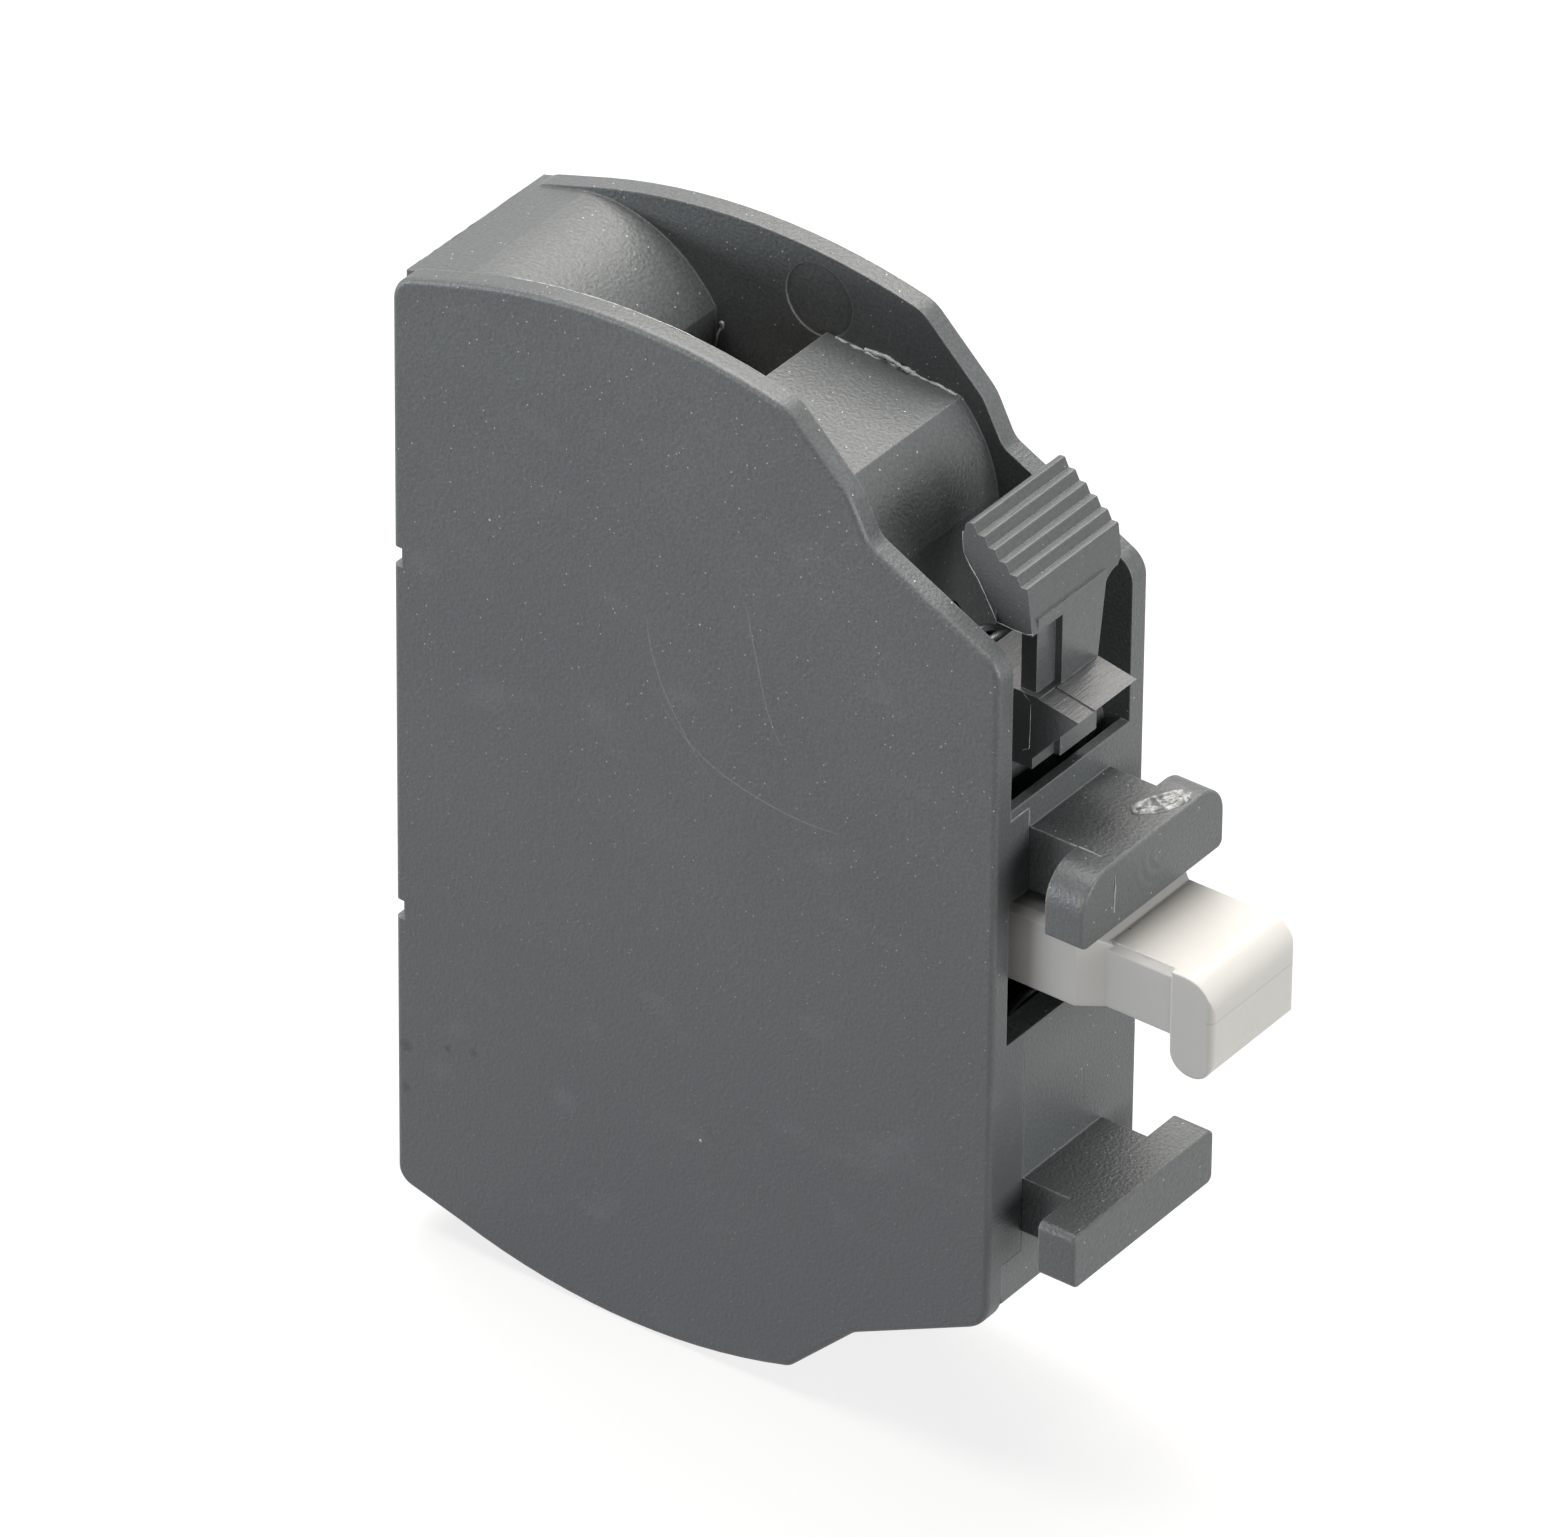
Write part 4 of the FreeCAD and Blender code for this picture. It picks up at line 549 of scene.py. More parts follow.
def metal(name, tone, tarnish, roughness, stretch, line, depth):
    """A metal whose surface lines are line millimetres apart and drawn out along one axis."""
    material, tree = new_material(name)
    place = add_node(tree, "ShaderNodeTexCoord").outputs["Object"]
    cloud = add_node(tree, NOISE, Vector=place, Scale=per_metre(1.6), Detail=3.0)
    drawn = add_node(tree, "ShaderNodeMapping", Vector=place, Scale=stretch)
    lines = add_node(tree, NOISE, Vector=drawn, Scale=per_metre(line), Detail=2.0)
    gloss = add_node(tree, MAP_RANGE, Value=lines, To_Min=roughness - 0.1, To_Max=roughness + 0.1)
    relief = add_node(tree, "ShaderNodeBump", Distance=depth * MM, Height=lines,
                      Normal=rounded_edge(tree, 0.06)[0], Strength=1.0)
    shader = add_node(tree, "ShaderNodeBsdfPrincipled", Metallic=1.0, Roughness=gloss, Normal=relief,
                      Base_Color=layered(tree, colour(tone), [(cloud, 1.0, tarnish)]))
    add_node(tree, "ShaderNodeOutputMaterial", None, shader)
    return material


ALONG_Z, ALONG_Y, EVEN = (1.0, 1.0, 0.08), (1.0, 0.08, 1.0), (1.0, 1.0, 1.0)
print("lines are drawn out", round(1 / ALONG_Z[2], 1), "times")

# %% [markdown]
# Inside are five of them. Zinc plate on the nuts, clamps and washers is pale and slightly
# mottled by its passivation. The screws are plated too, but brighter, with turning marks. The
# strips and the bridge are rolled brass with fine lines along the strip. The contact tips are
# silver, dulled by a thin warm tarnish. Spring wire is oil tempered, which leaves it dark.

# %% Five metals and the nodes that have them
ENDS = ("upper", "lower")
metals = {
    "zinc": metal("zinc plated steel, pressed", "c9cdd1", "b4b39f", 0.36, EVEN, 0.2, 0.004),
    "screw": metal("zinc plated steel, cold headed", "d6d9dc", "bfc1bb", 0.28, ALONG_Y, 0.15, 0.003),
    "brass": metal("rolled brass strip", "cfae6b", "b18f52", 0.3, ALONG_Z, 0.12, 0.003),
    "silver": metal("silver contact rivet", "dedcd6", "c2bba9", 0.26, EVEN, 0.25, 0.003),
    "wire": metal("drawn spring steel wire, oil tempered", "5c5e61", "48494c", 0.42, EVEN, 0.1, 0.002),
}
finishes = {
    "zinc": [f"{piece}_{end}" for piece in ("terminal_nut", "clamp_plate", "spring_washer") for end in ENDS],
    "screw": [f"terminal_screw_{end}" for end in ENDS],
    "brass": [f"terminal_strip_{end}" for end in ENDS] + ["contact_bridge"],
    "silver": [f"{piece}_{end}" for piece in ("fixed_tip", "bridge_tip") for end in ENDS],
    "wire": ["return_spring", "bridge_spring", "latch_spring"],
}
for metal_name, names in finishes.items():
    for name in names:
        nodes[name].data.materials[0] = metals[metal_name]
    print(metals[metal_name].name, "on", ", ".join(names))

# %% [markdown]
# ## Geometry Nodes that run once
#
# Springs, threads and flash all follow a rule or a path, so a tree of geometry nodes grows
# each of them. The tree's sizes are its inputs. It ends by making its instances real and by
# setting the material.

# %% Start and end of a rule
FLOAT, VECTOR, PAINT = "NodeSocketFloat", "NodeSocketVector", "NodeSocketMaterial"


def new_rule(name, **kinds):
    """A geometry tree with named inputs, and the sockets that bring them in."""
    tree = bpy.data.node_groups.new(name, "GeometryNodeTree")
    tree.interface.new_socket("Geometry", in_out="INPUT", socket_type="NodeSocketGeometry")
    tree.interface.new_socket("Geometry", in_out="OUTPUT", socket_type="NodeSocketGeometry")
    for label, kind in kinds.items():
        tree.interface.new_socket(label, in_out="INPUT", socket_type=kind)
    return tree, add_node(tree, "NodeGroupInput").outputs


def finish_rule(tree, geometry, paint):
    """Ends a tree: smooth, with no instances left, and in its material."""
    smooth = add_node(tree, "GeometryNodeSetShadeSmooth", Geometry=geometry)
    real = add_node(tree, "GeometryNodeRealizeInstances", Geometry=smooth)
    add_node(tree, "NodeGroupOutput", None,
             add_node(tree, "GeometryNodeSetMaterial", Geometry=real, Material=paint))
    print(tree.name, "has", len(tree.nodes), "nodes")


print("kinds of input:", FLOAT, VECTOR, PAINT)

# %% [markdown]
# The tree runs once, the plain mesh that it made is kept, and the modifier goes away, so that
# what rides on the frame is an ordinary mesh.

# %% Grow a mesh and put it on a body


def grow(name, rule, start=None, **sizes):
    """The mesh object that a tree makes with these inputs, its modifier gone again."""
    grown = bpy.data.objects.new(name, start or bpy.data.meshes.new(name))
    scene.collection.objects.link(grown)
    modifier = grown.modifiers.new("rule", "NODES")
    modifier.node_group = rule
    for item in rule.interface.items_tree:
        if item.in_out == "INPUT" and item.name in sizes:
            modifier[item.identifier] = sizes[item.name]
    evaluated = grown.evaluated_get(bpy.context.evaluated_depsgraph_get())
    mesh = bpy.data.meshes.new_from_object(evaluated)
    grown.modifiers.remove(modifier)
    grown.data = mesh
    mesh.name = name
    return grown


def place_on(piece, body):
    """Lets a piece ride on a body, and prints its name, body and number of faces."""
    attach(piece, body)
    print(piece.name, "rides on", body, "with", len(piece.data.polygons), "faces")


print("meshes before anything is grown:", len(bpy.data.meshes))

# %% [markdown]
# ## Coil springs
#
# A compression spring is wire wound at one pitch, except for its last turn at each end, which
# lies against the next one to give a flat seat. So the height climbs in three straight
# stretches: two wires for the first turn, two for the last, and the rest of the length between.

# %% How high each turn of a coil lies
coil_rule, sockets = new_rule(
    "wound_spring", Radius=FLOAT, Wire=FLOAT, Turns=FLOAT, Length=FLOAT, Start=VECTOR, Paint=PAINT)
share = add_node(coil_rule, "GeometryNodeSplineParameter")
turn = add_node(coil_rule, MATH, TIMES, share, sockets["Turns"])
two_wires = add_node(coil_rule, MATH, TIMES, sockets["Wire"], 2.0)
in_first = add_node(coil_rule, MATH, LEAST, turn, 1.0)
last_start = add_node(coil_rule, MATH, MINUS, sockets["Turns"], 1.0)
in_last = add_node(coil_rule, MATH, MOST, add_node(coil_rule, MATH, MINUS, turn, last_start), 0.0)
first = add_node(coil_rule, MATH, TIMES, in_first, two_wires)
last = add_node(coil_rule, MATH, TIMES, in_last, two_wires)
six_wires = add_node(coil_rule, MATH, TIMES, sockets["Wire"], 6.0)
free_length = add_node(coil_rule, MATH, MINUS, sockets["Length"], six_wires)
free_share = add_node(coil_rule, MAP_RANGE, Value=turn, From_Min=1.0, From_Max=last_start)
climb = add_node(coil_rule, MATH, TIMES, free_share, free_length)
seats = add_node(coil_rule, MATH, PLUS, first, last)
raised = add_node(coil_rule, MATH, PLUS, seats, climb)
along = add_node(coil_rule, MATH, PLUS, raised, sockets["Wire"])
print("nodes for the climb:", len(coil_rule.nodes))

# %% [markdown]
# The turn's angle bends the climbing line round the axis, and a round wire is drawn along it.

# %% The rule of a coil
TURN_STEPS, WIRE_STEPS, FULL_TURN = 26, 12, 2 * math.pi
COSINE, SINE = {"operation": "COSINE"}, {"operation": "SINE"}
angle = add_node(coil_rule, MATH, TIMES, turn, FULL_TURN)
across = add_node(coil_rule, MATH, TIMES, add_node(coil_rule, MATH, COSINE, angle), sockets["Radius"])
up = add_node(coil_rule, MATH, TIMES, add_node(coil_rule, MATH, SINE, angle), sockets["Radius"])
point = add_node(coil_rule, "ShaderNodeCombineXYZ", X=across, Y=along, Z=up)
moved = add_node(coil_rule, VECTOR_MATH, PLUS, point, sockets["Start"])
steps = add_node(coil_rule, MATH, TIMES, sockets["Turns"], TURN_STEPS)
line = add_node(coil_rule, "GeometryNodeResampleCurve", Count=steps,
                Curve=add_node(coil_rule, "GeometryNodeCurvePrimitiveLine"))
wound = add_node(coil_rule, "GeometryNodeSetPosition", Geometry=line, Position=moved)
section = add_node(coil_rule, "GeometryNodeCurvePrimitiveCircle", Resolution=WIRE_STEPS, Radius=sockets["Wire"])
wire = add_node(coil_rule, "GeometryNodeCurveToMesh", Curve=wound, Profile_Curve=section, Fill_Caps=True)
finish_rule(coil_rule, wire, sockets["Paint"])

# %% [markdown]
# The CAD model has evenly wound stand-ins. These coils replace them, each in its stand-in's
# box, and ride on the casing or the slider.

# %% The three springs
WIRE_RADIUS = 0.25
springs = [
    ("return_coil", "return_spring", "casing", 7.0, "slider_travel", 1, 0.62),
    ("bridge_coil", "bridge_spring", "slider", 4.0, "bridge_overtravel", 0, 0.735),
    ("latch_coil", "latch_spring", "casing", 3.5, "latch_swing", 0, 0.8),
]
for name, node, body, turns, joint, fixed_end, kept in springs:
    low_corner, high_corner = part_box(node)
    middle = (low_corner + high_corner) / 2
    start = Vector((middle.x, low_corner.y, middle.z))
    coil = grow(name, coil_rule, Radius=(high_corner.x - low_corner.x) / 2 - WIRE_RADIUS * MM,
                Wire=WIRE_RADIUS * MM, Turns=turns, Length=high_corner.y - low_corner.y,
                Start=start, Paint=metals["wire"])
    place_on(coil, body)
    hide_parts(node)
    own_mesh(coil)

# %% [markdown]
# ## Screw threads
#
# The terminal screws have a metric thread with a pitch of 0.6 mm. A thread is a surface whose
# distance from the axis depends on only two things, the angle and the height. One share of
# a flat grid becomes the height and the other the angle, and together they say how far the
# point is up the thread's flank.

# %% How deep the thread is cut
GRID_ROWS, GRID_COLUMNS = 121, 29
CREST_FLATTENING = 1.15
KEEP_POSITIVE = 8.0
thread_rule, sockets = new_rule(
    "cut_thread", Crest=FLOAT, Depth=FLOAT, Pitch=FLOAT, Length=FLOAT, Start=VECTOR, Paint=PAINT)
spread = add_node(thread_rule, "ShaderNodeSeparateXYZ", Vector=add_node(
    thread_rule, "GeometryNodeInputPosition")).outputs
share = add_node(thread_rule, MATH, PLUS, spread["X"], 0.5)
round_share = add_node(thread_rule, MATH, PLUS, spread["Y"], 0.5)
along = add_node(thread_rule, MATH, TIMES, share, sockets["Length"])
turns = add_node(thread_rule, MATH, {"operation": "DIVIDE"}, along, sockets["Pitch"])
lag = add_node(thread_rule, MATH, MINUS, turns, round_share)
phase = add_node(thread_rule, MATH, {"operation": "FRACT"}, add_node(thread_rule, MATH, PLUS, lag, KEEP_POSITIVE))
double = add_node(thread_rule, MATH, TIMES, phase, 2.0)
flank = add_node(thread_rule, MATH, {"operation": "PINGPONG"}, double, 1.0)
crest = add_node(thread_rule, MATH, LEAST, add_node(thread_rule, MATH, TIMES, flank, CREST_FLATTENING), 1.0)
depth = add_node(thread_rule, MATH, TIMES, add_node(thread_rule, MATH, MINUS, 1.0, crest), sockets["Depth"])
print("nodes for the cut:", len(thread_rule.nodes))

# %% [markdown]
# The point gets a chamfer, and the grid's first and last rows shrink to the middle, which
# closes the ends. Merging joins the grid's two edges where they meet.

# %% The rule of a thread
LAST_ROW, MERGE_DISTANCE = 0.4999, 0.01 * MM
cut = add_node(thread_rule, MATH, MINUS, sockets["Crest"], depth)
root = add_node(thread_rule, MATH, MINUS, sockets["Crest"], sockets["Depth"])
to_point = add_node(thread_rule, MATH, MINUS, sockets["Length"], along)
chamfered = add_node(thread_rule, MATH, LEAST, cut, add_node(thread_rule, MATH, PLUS, root, to_point))
from_middle = add_node(thread_rule, MATH, SIZE_OF, spread["X"])
inside = add_node(thread_rule, MATH, {"operation": "LESS_THAN"}, from_middle, LAST_ROW)
radius = add_node(thread_rule, MATH, TIMES, chamfered, inside)
angle = add_node(thread_rule, MATH, TIMES, round_share, FULL_TURN)
across = add_node(thread_rule, MATH, TIMES, add_node(thread_rule, MATH, COSINE, angle), radius)
up = add_node(thread_rule, MATH, TIMES, add_node(thread_rule, MATH, SINE, angle), radius)
point = add_node(thread_rule, "ShaderNodeCombineXYZ", X=across, Y=along, Z=up)
moved = add_node(thread_rule, VECTOR_MATH, PLUS, point, sockets["Start"])
grid = add_node(thread_rule, "GeometryNodeMeshGrid", Size_X=1.0, Size_Y=1.0,
                Vertices_X=GRID_ROWS, Vertices_Y=GRID_COLUMNS)
bent = add_node(thread_rule, "GeometryNodeSetPosition", Geometry=grid, Position=moved)
closed = add_node(thread_rule, "GeometryNodeMergeByDistance", Geometry=bent, Distance=MERGE_DISTANCE)
finish_rule(thread_rule, closed, sockets["Paint"])

# %% [markdown]
# The head with its slot and recess is right in the CAD model, so it is kept: a copy of the
# screw loses its plain shank and the hole that this leaves is closed. The thread starts there.

# %% A screw head without its shank
WELD_DISTANCE, HEAD_REACH, STEP_DOWN = 0.002 * MM, 2 * MM, 0.01 * MM


def cut_head(name, screw, axis):
    """A mesh of a screw's head alone, and the height of its underside."""
    work = bmesh.new()
    work.from_mesh(screw.data)
    bmesh.ops.remove_doubles(work, verts=work.verts, dist=WELD_DISTANCE)
    rim = [v for v in work.verts if Vector((v.co.x - axis.x, v.co.z - axis.z)).length > HEAD_REACH]
    under_head = max(v.co.y for v in rim)
    shank = [v for v in work.verts if v.co.y > under_head + STEP_DOWN]
    bmesh.ops.delete(work, geom=shank, context="VERTS")
    bmesh.ops.holes_fill(work, edges=[e for e in work.edges if e.is_boundary])
    bmesh.ops.recalc_face_normals(work, faces=work.faces)
    head_mesh = bpy.data.meshes.new(name)
    work.to_mesh(head_mesh)
    work.free()
    print(name, "ends at", round(under_head / MM, 2), "mm")
    return head_mesh, under_head


# %% [markdown]
# Both parts of each screw turn with its body. The head replaces the CAD screw.

# %% The two screws
THREAD_PITCH, THREAD_DEPTH, SHANK_RADIUS = 0.6, 0.34, 1.72
for end in ENDS:
    node = "terminal_screw_" + end
    low_corner, high_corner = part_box(node)
    axis = (low_corner + high_corner) / 2
    head_mesh, under_head = cut_head("screw_head_" + end, nodes[node], axis)
    head_mesh.materials.append(metals["screw"])
    head = bpy.data.objects.new("screw_head_" + end, head_mesh)
    scene.collection.objects.link(head)
    place_on(head, "screw_" + end)
    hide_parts(node)
    thread = grow("screw_thread_" + end, thread_rule, Crest=SHANK_RADIUS * MM, Depth=THREAD_DEPTH * MM,
                  Pitch=THREAD_PITCH * MM, Length=high_corner.y - under_head,
                  Start=Vector((axis.x, under_head, axis.z)), Paint=metals["screw"])
    place_on(thread, "screw_" + end)

# %% [markdown]
# ## Flash
#
# Where two mould halves or a core meet, a skin of melt creeps out: a ragged, glassy, paler
# edge a few hundredths of a millimetre thick. Each one is a path on the part's edge. The tree
# divides the path and lets it wander a little, by noise with a fixed seed.

# %% A path that wanders
FOUR_D = {"noise_dimensions": "4D"}
MIDDLE_OF_NOISE = (0.5, 0.5, 0.5)
flash_rule, sockets = new_rule(
    "moulding_flash", Width=FLOAT, Step=FLOAT, Wander=FLOAT, Seed=FLOAT, Paint=PAINT)
path = add_node(flash_rule, "GeometryNodeMeshToCurve", Mesh=sockets["Geometry"])
fine_path = add_node(flash_rule, "GeometryNodeResampleCurve", {"mode": "LENGTH"},
                     Curve=path, Length=sockets["Step"])
here = add_node(flash_rule, "GeometryNodeInputPosition")
wave = add_node(flash_rule, NOISE, FOUR_D, Vector=here, W=sockets["Seed"], Scale=per_metre(0.7), Detail=2.0)
centred = add_node(flash_rule, VECTOR_MATH, MINUS, wave.outputs["Color"], MIDDLE_OF_NOISE)
drift = add_node(flash_rule, VECTOR_MATH, {"operation": "SCALE"}, centred, sockets["Wander"])
wandering = add_node(flash_rule, "GeometryNodeSetPosition", Geometry=fine_path, Offset=drift)
print("nodes for the path:", len(flash_rule.nodes))

# %% [markdown]
# Along the path lies a thin skin. Its width follows a second noise, which makes it ragged.

# %% The rule of flash
ragged = add_node(flash_rule, NOISE, FOUR_D, Vector=here, W=sockets["Seed"], Scale=per_metre(0.35), Detail=2.0)
uneven = add_node(flash_rule, MAP_RANGE, Value=ragged, From_Min=0.32, From_Max=0.7, To_Min=0.15, To_Max=1.0)
section = add_node(flash_rule, "GeometryNodeCurvePrimitiveCircle", Resolution=6, Radius=sockets["Width"])
flash = add_node(flash_rule, "GeometryNodeCurveToMesh", Curve=wandering, Profile_Curve=section,
                 Scale=uneven, Fill_Caps=True)
finish_rule(flash_rule, flash, sockets["Paint"])

# %% [markdown]
# A path lies on the piece it belongs to. Where a direction is given, its points are dropped onto that
# piece's own surface by a ray, so that the skin does not hang in the air. Each point is in millimetres in the
# frame.

# %% Drop a point onto a piece
RAY_LENGTH = 3 * MM
surfaces = {}


def on_surface(node, point, direction):
    """Where a ray from a point in millimetres meets a CAD node, or the point if it misses."""
    if node not in surfaces:
        mesh = nodes[node].data
        surfaces[node] = BVHTree.FromPolygons([v.co for v in mesh.vertices], [p.vertices for p in mesh.polygons])
    start = Vector(point) * MM
    return surfaces[node].ray_cast(start, Vector(direction).normalized(), RAY_LENGTH)[0] or start


landed = on_surface("side_cover", (4.05, -24.6, 25.6), (0, 0, -1))
print("the cover's rim is", round(landed.z / MM, 2), "mm high at its front")

# %% [markdown]
# The points become a chain of edges, the rule turns the chain into a skin, and the skin rides
# on the body that the piece belongs to. The path is divided every 0.09 mm.

# %% Lay a skin along a path
STEP = 0.09


def lay_flash(name, node, body, points, paint, width=0.05, wander=0.06, seed=0.0, drop=None):
    """Flash along points. With drop, each point first falls in that direction onto the node."""
    points = [on_surface(node, p, drop) if drop else Vector(p) * MM for p in points]
    path = bpy.data.meshes.new(name)
    path.from_pydata(points, [(i, i + 1) for i in range(len(points) - 1)], [])
    skin = grow(name, flash_rule, path, Width=width * MM, Step=STEP * MM, Wander=wander * MM,
                Seed=seed, Paint=paint)
    place_on(skin, body)


print("a path of 10 mm is divided into", round(10 / STEP), "steps")

# %% [markdown]
# Flash is the part's own plastic, but thin and stretched. Nylon whitens in it to a pale haze
# with a wet gloss, and polyester stays nearly as white as the slider.

# %% Flash materials


def stretched(name, tone, haze_tone, index):
    """A glossy skin of stretched plastic, whose whitening comes in patches of some 0.4 mm."""
    material, tree = new_material(name)
    place = add_node(tree, "ShaderNodeTexCoord").outputs["Object"]
    haze = add_node(tree, NOISE, Vector=place, Scale=per_metre(0.4), Detail=2.0)
    paint = layered(tree, colour(tone), [(haze, 1.0, haze_tone)])
    shader = add_node(tree, "ShaderNodeBsdfPrincipled", Base_Color=paint, Roughness=0.35, IOR=index)
    add_node(tree, "ShaderNodeOutputMaterial", None, shader)
    print(name, "from", tone, "to", haze_tone)
    return material


pale_flash = stretched("thin nylon flash, stretched", "7c7f80", "c0c1c0", 1.53)
white_flash = stretched("thin polyester flash, stretched", "d2d1ce", "dddcda", 1.57)

# %% [markdown]
# On the cover, flash shows where its rim meets the roof.

# %% Flash on the cover's rim
rim_y = [-24.6, -23.5, -22.2, -21.0, -20.4, -19.5, -18.6, -17.7, -16.4, -15.4]
lay_flash("flash_cover_rim", "side_cover", "casing", [(4.05, y, 25.6) for y in rim_y],
          pale_flash, width=0.035, wander=0.1, seed=1.0, drop=(0, 0, -1))

# %% [markdown]
# On the housing, the far edge of the upper terminal block has the widest skin. Its loose
# fringe hangs down a little beside it. A fine one runs along the front of the roof.

# %% Flash on the terminal block and the roof
block_y = [-14.6, -13.6, -12.9, -12.1, -11.2, -10.2, -9.2, -8.7]
lay_flash("flash_block_edge", "housing", "casing", [(-3.95, y, 21.4) for y in block_y],
          pale_flash, width=0.12, wander=0.25, seed=2.0, drop=(0, 0, -1))
fringe = [(-3.98, -13.2, 20.3), (-3.95, -12.6, 20.38), (-3.93, -12.0, 20.36), (-3.92, -11.4, 20.26),
          (-3.95, -10.7, 20.2)]
lay_flash("flash_block_fringe", "housing", "casing", fringe,
          pale_flash, width=0.16, wander=0.3, seed=3.5)
roof_front = [(x, -29.97, 21.66) for x in (3.7, 0, -3.9)]
lay_flash("flash_roof_front", "housing", "casing", roof_front,
          pale_flash, width=0.03, wander=0.08, seed=4.0)

# %% [markdown]
# The hooks' parting line is the near edge of their stems and bars.

# %% Flash on the hooks
STEM_EDGE = 2.69
hook_lines = [
    ("flash_upper_stem", [(0.05, 6.5), (1.2, 6.5), (2.3, 6.5)], 0.04, 0.07, 5.0),
    ("flash_upper_bar", [(2.4, 6.5), (3.4, 6.49), (4.12, 6.3), (4.15, 5.2), (4.15, 4.1)], 0.045, 0.1, 6.0),
    ("flash_lower_stem", [(0.05, -10.55), (1.2, -10.55), (2.3, -10.55)], 0.025, 0.05, 7.0),
]
for name, line, width, wander, seed in hook_lines:
    lay_flash(name, "housing", "casing", [(STEM_EDGE, y, z) for y, z in line],
              pale_flash, width=width, wander=wander, seed=seed)

# %% [markdown]
# The cover's flange ends beside the window, and its corner has a fine skin too.

# %% Flash on the cover's flange
lay_flash("flash_flange", "side_cover", "casing",
          [(4.0, 0.0, 7.44), (3.3, 0.0, 7.45), (2.76, 0.0, 7.44), (2.76, 0.0, 6.6)],
          pale_flash, width=0.03, wander=0.04, seed=8.0)

# %% [markdown]
# A hair of plastic curls up where the roof's end meets the far plate, pulled out when the
# mould opened. It is a short hooked path with a rounder skin.

# %% The curl behind the roof
curl_points = [(-3.9, -20.58, 17.6), (-3.93, -20.5, 17.9), (-3.84, -20.38, 18.3), (-3.88, -20.26, 18.65),
               (-3.86, -20.28, 18.95), (-3.8, -20.08, 19.02), (-3.82, -20.1, 18.72), (-3.86, -20.22, 18.6)]
lay_flash("flash_curl", "housing", "casing", curl_points, pale_flash,
          width=0.08, wander=0.1, seed=9.0)

# %% [markdown]
# ## The gate scar
#
# The melt came in through a gate on top of the upper hook. Its stub was twisted off, which
# left an oval crater with a torn, glassy rim. Stress whitened it in patches, so it glints pale.

# %% Torn nylon
torn_nylon, tree = new_material("torn nylon, glassy and stress-whitened")
place = add_node(tree, "ShaderNodeTexCoord").outputs["Object"]
haze = add_node(tree, NOISE, Vector=place, Scale=per_metre(0.3), Detail=3.0)
whitened = add_node(tree, MAP_RANGE, Value=haze, From_Min=0.42, From_Max=0.62)
paint = layered(tree, colour("5f6263"), [(whitened, 1.0, "b4b5b4")])
shader = add_node(tree, "ShaderNodeBsdfPrincipled", Base_Color=paint, Roughness=0.3, IOR=1.53)
add_node(tree, "ShaderNodeOutputMaterial", None, shader)
print(torn_nylon.name, "has", len(tree.nodes), "nodes")

# %% [markdown]
# The scar is a small patch of mesh: a disc of rings whose height follows noise, raised at the
# rim and sunk into the bar at its border, so that no gap shows round it.

# %% Points of the scar
SCAR_CENTRE, SCAR_LENGTH, SCAR_WIDTH, SCAR_TURN = Vector((-1.75, 3.15, 6.5)), 1.45, 0.58, math.radians(-24)
SCAR_RINGS, SCAR_SPOKES = 14, 56
RIM_SHARE, RIM_SPREAD, RIM_HEIGHT, BUMP_HEIGHT, BORDER_DEPTH = 0.72, 0.2, 0.11, 0.1, -0.03


def scar_height(share, flat):
    """Height in millimetres at a share of the way out, by the rim and by two sizes of noise."""
    if share == 1:
        return BORDER_DEPTH
    rim = math.exp(-((share - RIM_SHARE) / RIM_SPREAD) ** 2)
    bumps = noise.noise(flat * 3.1 + Vector((0, 0, 7.0))) + 0.5 * noise.noise(flat * 8.3)
    return 0.02 + RIM_HEIGHT * rim + BUMP_HEIGHT * bumps * (1 - share ** 4)


scar_points = [SCAR_CENTRE + Vector((0, 0, 0.05))]
for ring in range(1, SCAR_RINGS + 1):
    share = ring / SCAR_RINGS
    for spoke in range(SCAR_SPOKES):
        turn = FULL_TURN * spoke / SCAR_SPOKES
        ragged = 1 + 0.22 * noise.noise(Vector((2.2 * math.cos(turn), 2.2 * math.sin(turn), 5.0)))
        flat = Vector((SCAR_LENGTH * math.cos(turn), SCAR_WIDTH * math.sin(turn), 0)) * share * ragged
        flat.rotate(Matrix.Rotation(SCAR_TURN, 3, "Z"))
        scar_points.append(SCAR_CENTRE + flat + Vector((0, 0, scar_height(share, flat))))
print("points of the scar:", len(scar_points))

# %% [markdown]
# Triangles join the middle to the first ring, quads join each ring to the next, and one face
# underneath closes the patch.

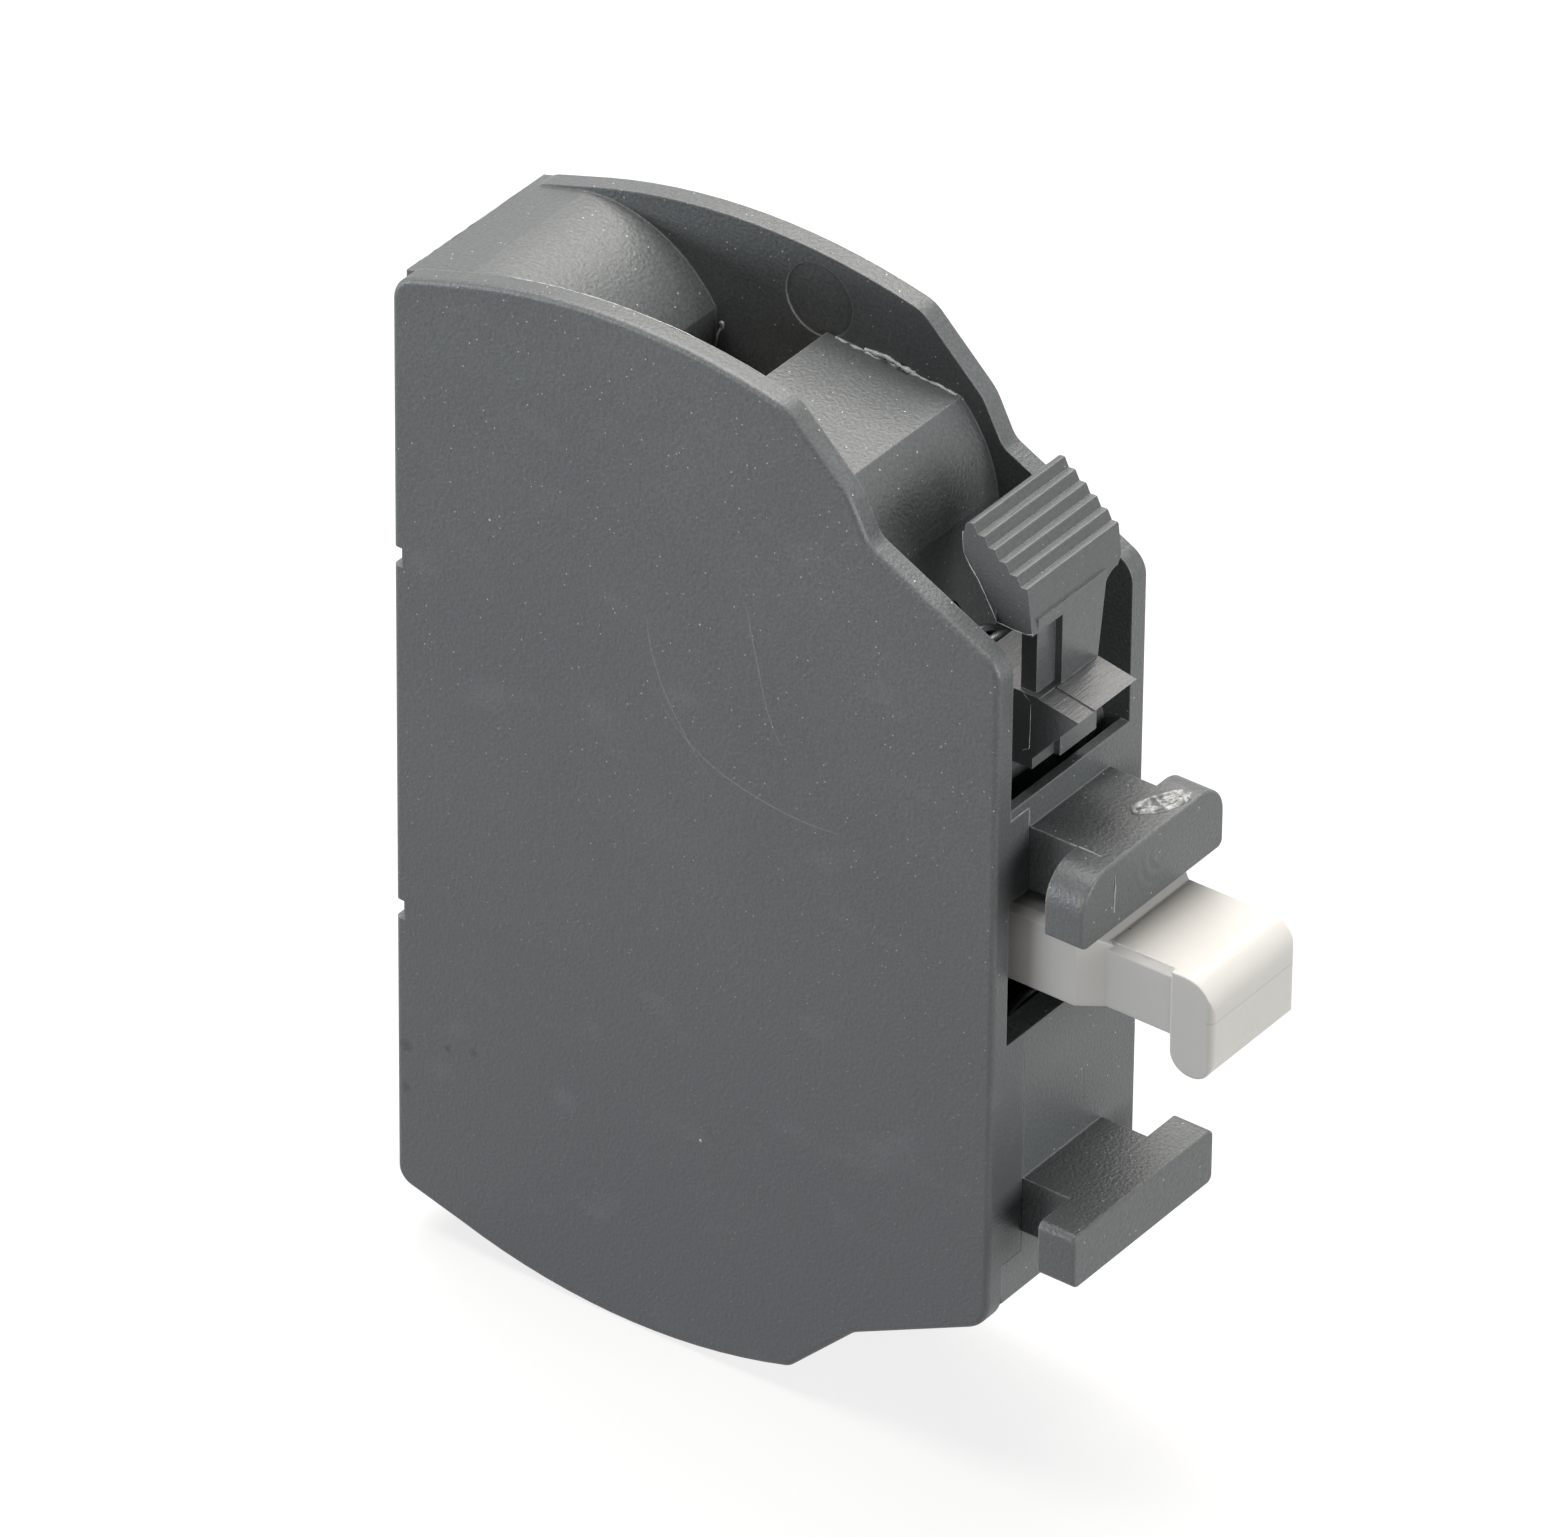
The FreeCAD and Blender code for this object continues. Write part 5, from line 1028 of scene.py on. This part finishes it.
# %% Faces of the scar
scar_faces = [(0, 1 + s, 1 + (s + 1) % SCAR_SPOKES) for s in range(SCAR_SPOKES)]
for ring in range(SCAR_RINGS - 1):
    inner, outer = 1 + ring * SCAR_SPOKES, 1 + (ring + 1) * SCAR_SPOKES
    for s in range(SCAR_SPOKES):
        n = (s + 1) % SCAR_SPOKES
        scar_faces.append((inner + s, outer + s, outer + n, inner + n))
border = 1 + (SCAR_RINGS - 1) * SCAR_SPOKES
scar_faces.append(tuple(border + s for s in reversed(range(SCAR_SPOKES))))
scar_mesh = bpy.data.meshes.new("gate_scar")
scar_mesh.from_pydata([p * MM for p in scar_points], [], scar_faces)
scar_mesh.polygons.foreach_set("use_smooth", [True] * len(scar_mesh.polygons))
scar_mesh.materials.append(torn_nylon)
scar = bpy.data.objects.new("gate_scar", scar_mesh)
scene.collection.objects.link(scar)
place_on(scar, "casing")

# %% [markdown]
# ## Flash on the moving pieces
#
# The latch has flash down the near edge of its thumb pad and round the foot of its arm.

# %% Flash on the latch
PAD_EDGE, FOOT_EDGE = 3.25, 2.62
pad_line = [(-3.1, 19.5), (-3.04, 18.5), (-2.7, 18.0), (-2.3, 17.5), (-2.0, 17.0), (-1.7, 16.5), (-1.4, 15.9),
            (-0.6, 15.88), (0.1, 15.9), (0.32, 16.0)]
lay_flash("flash_latch_pad", "release_latch", "latch", [(PAD_EDGE, y, z) for y, z in pad_line],
          pale_flash, width=0.03, wander=0.09, seed=11.0)
foot_line = [(-0.5, 12.6), (-0.14, 12.3), (-0.14, 11.2), (-0.16, 10.1), (-0.5, 9.9)]
lay_flash("flash_latch_foot", "release_latch", "latch", [(FOOT_EDGE, y, z) for y, z in foot_line],
          pale_flash, width=0.03, wander=0.05, seed=12.0)

# %% [markdown]
# The slider's skin stands on the near edge of its neck and nose, as a bright thin line.

# %% Flash on the slider
slider_edge = [(2.55, y, 2.6) for y in (3.4, 4.6, 5.8, 6.9)]
lay_flash("flash_slider_edge", "actuator_slider", "slider", slider_edge,
          white_flash, width=0.03, wander=0.04, seed=14.0)
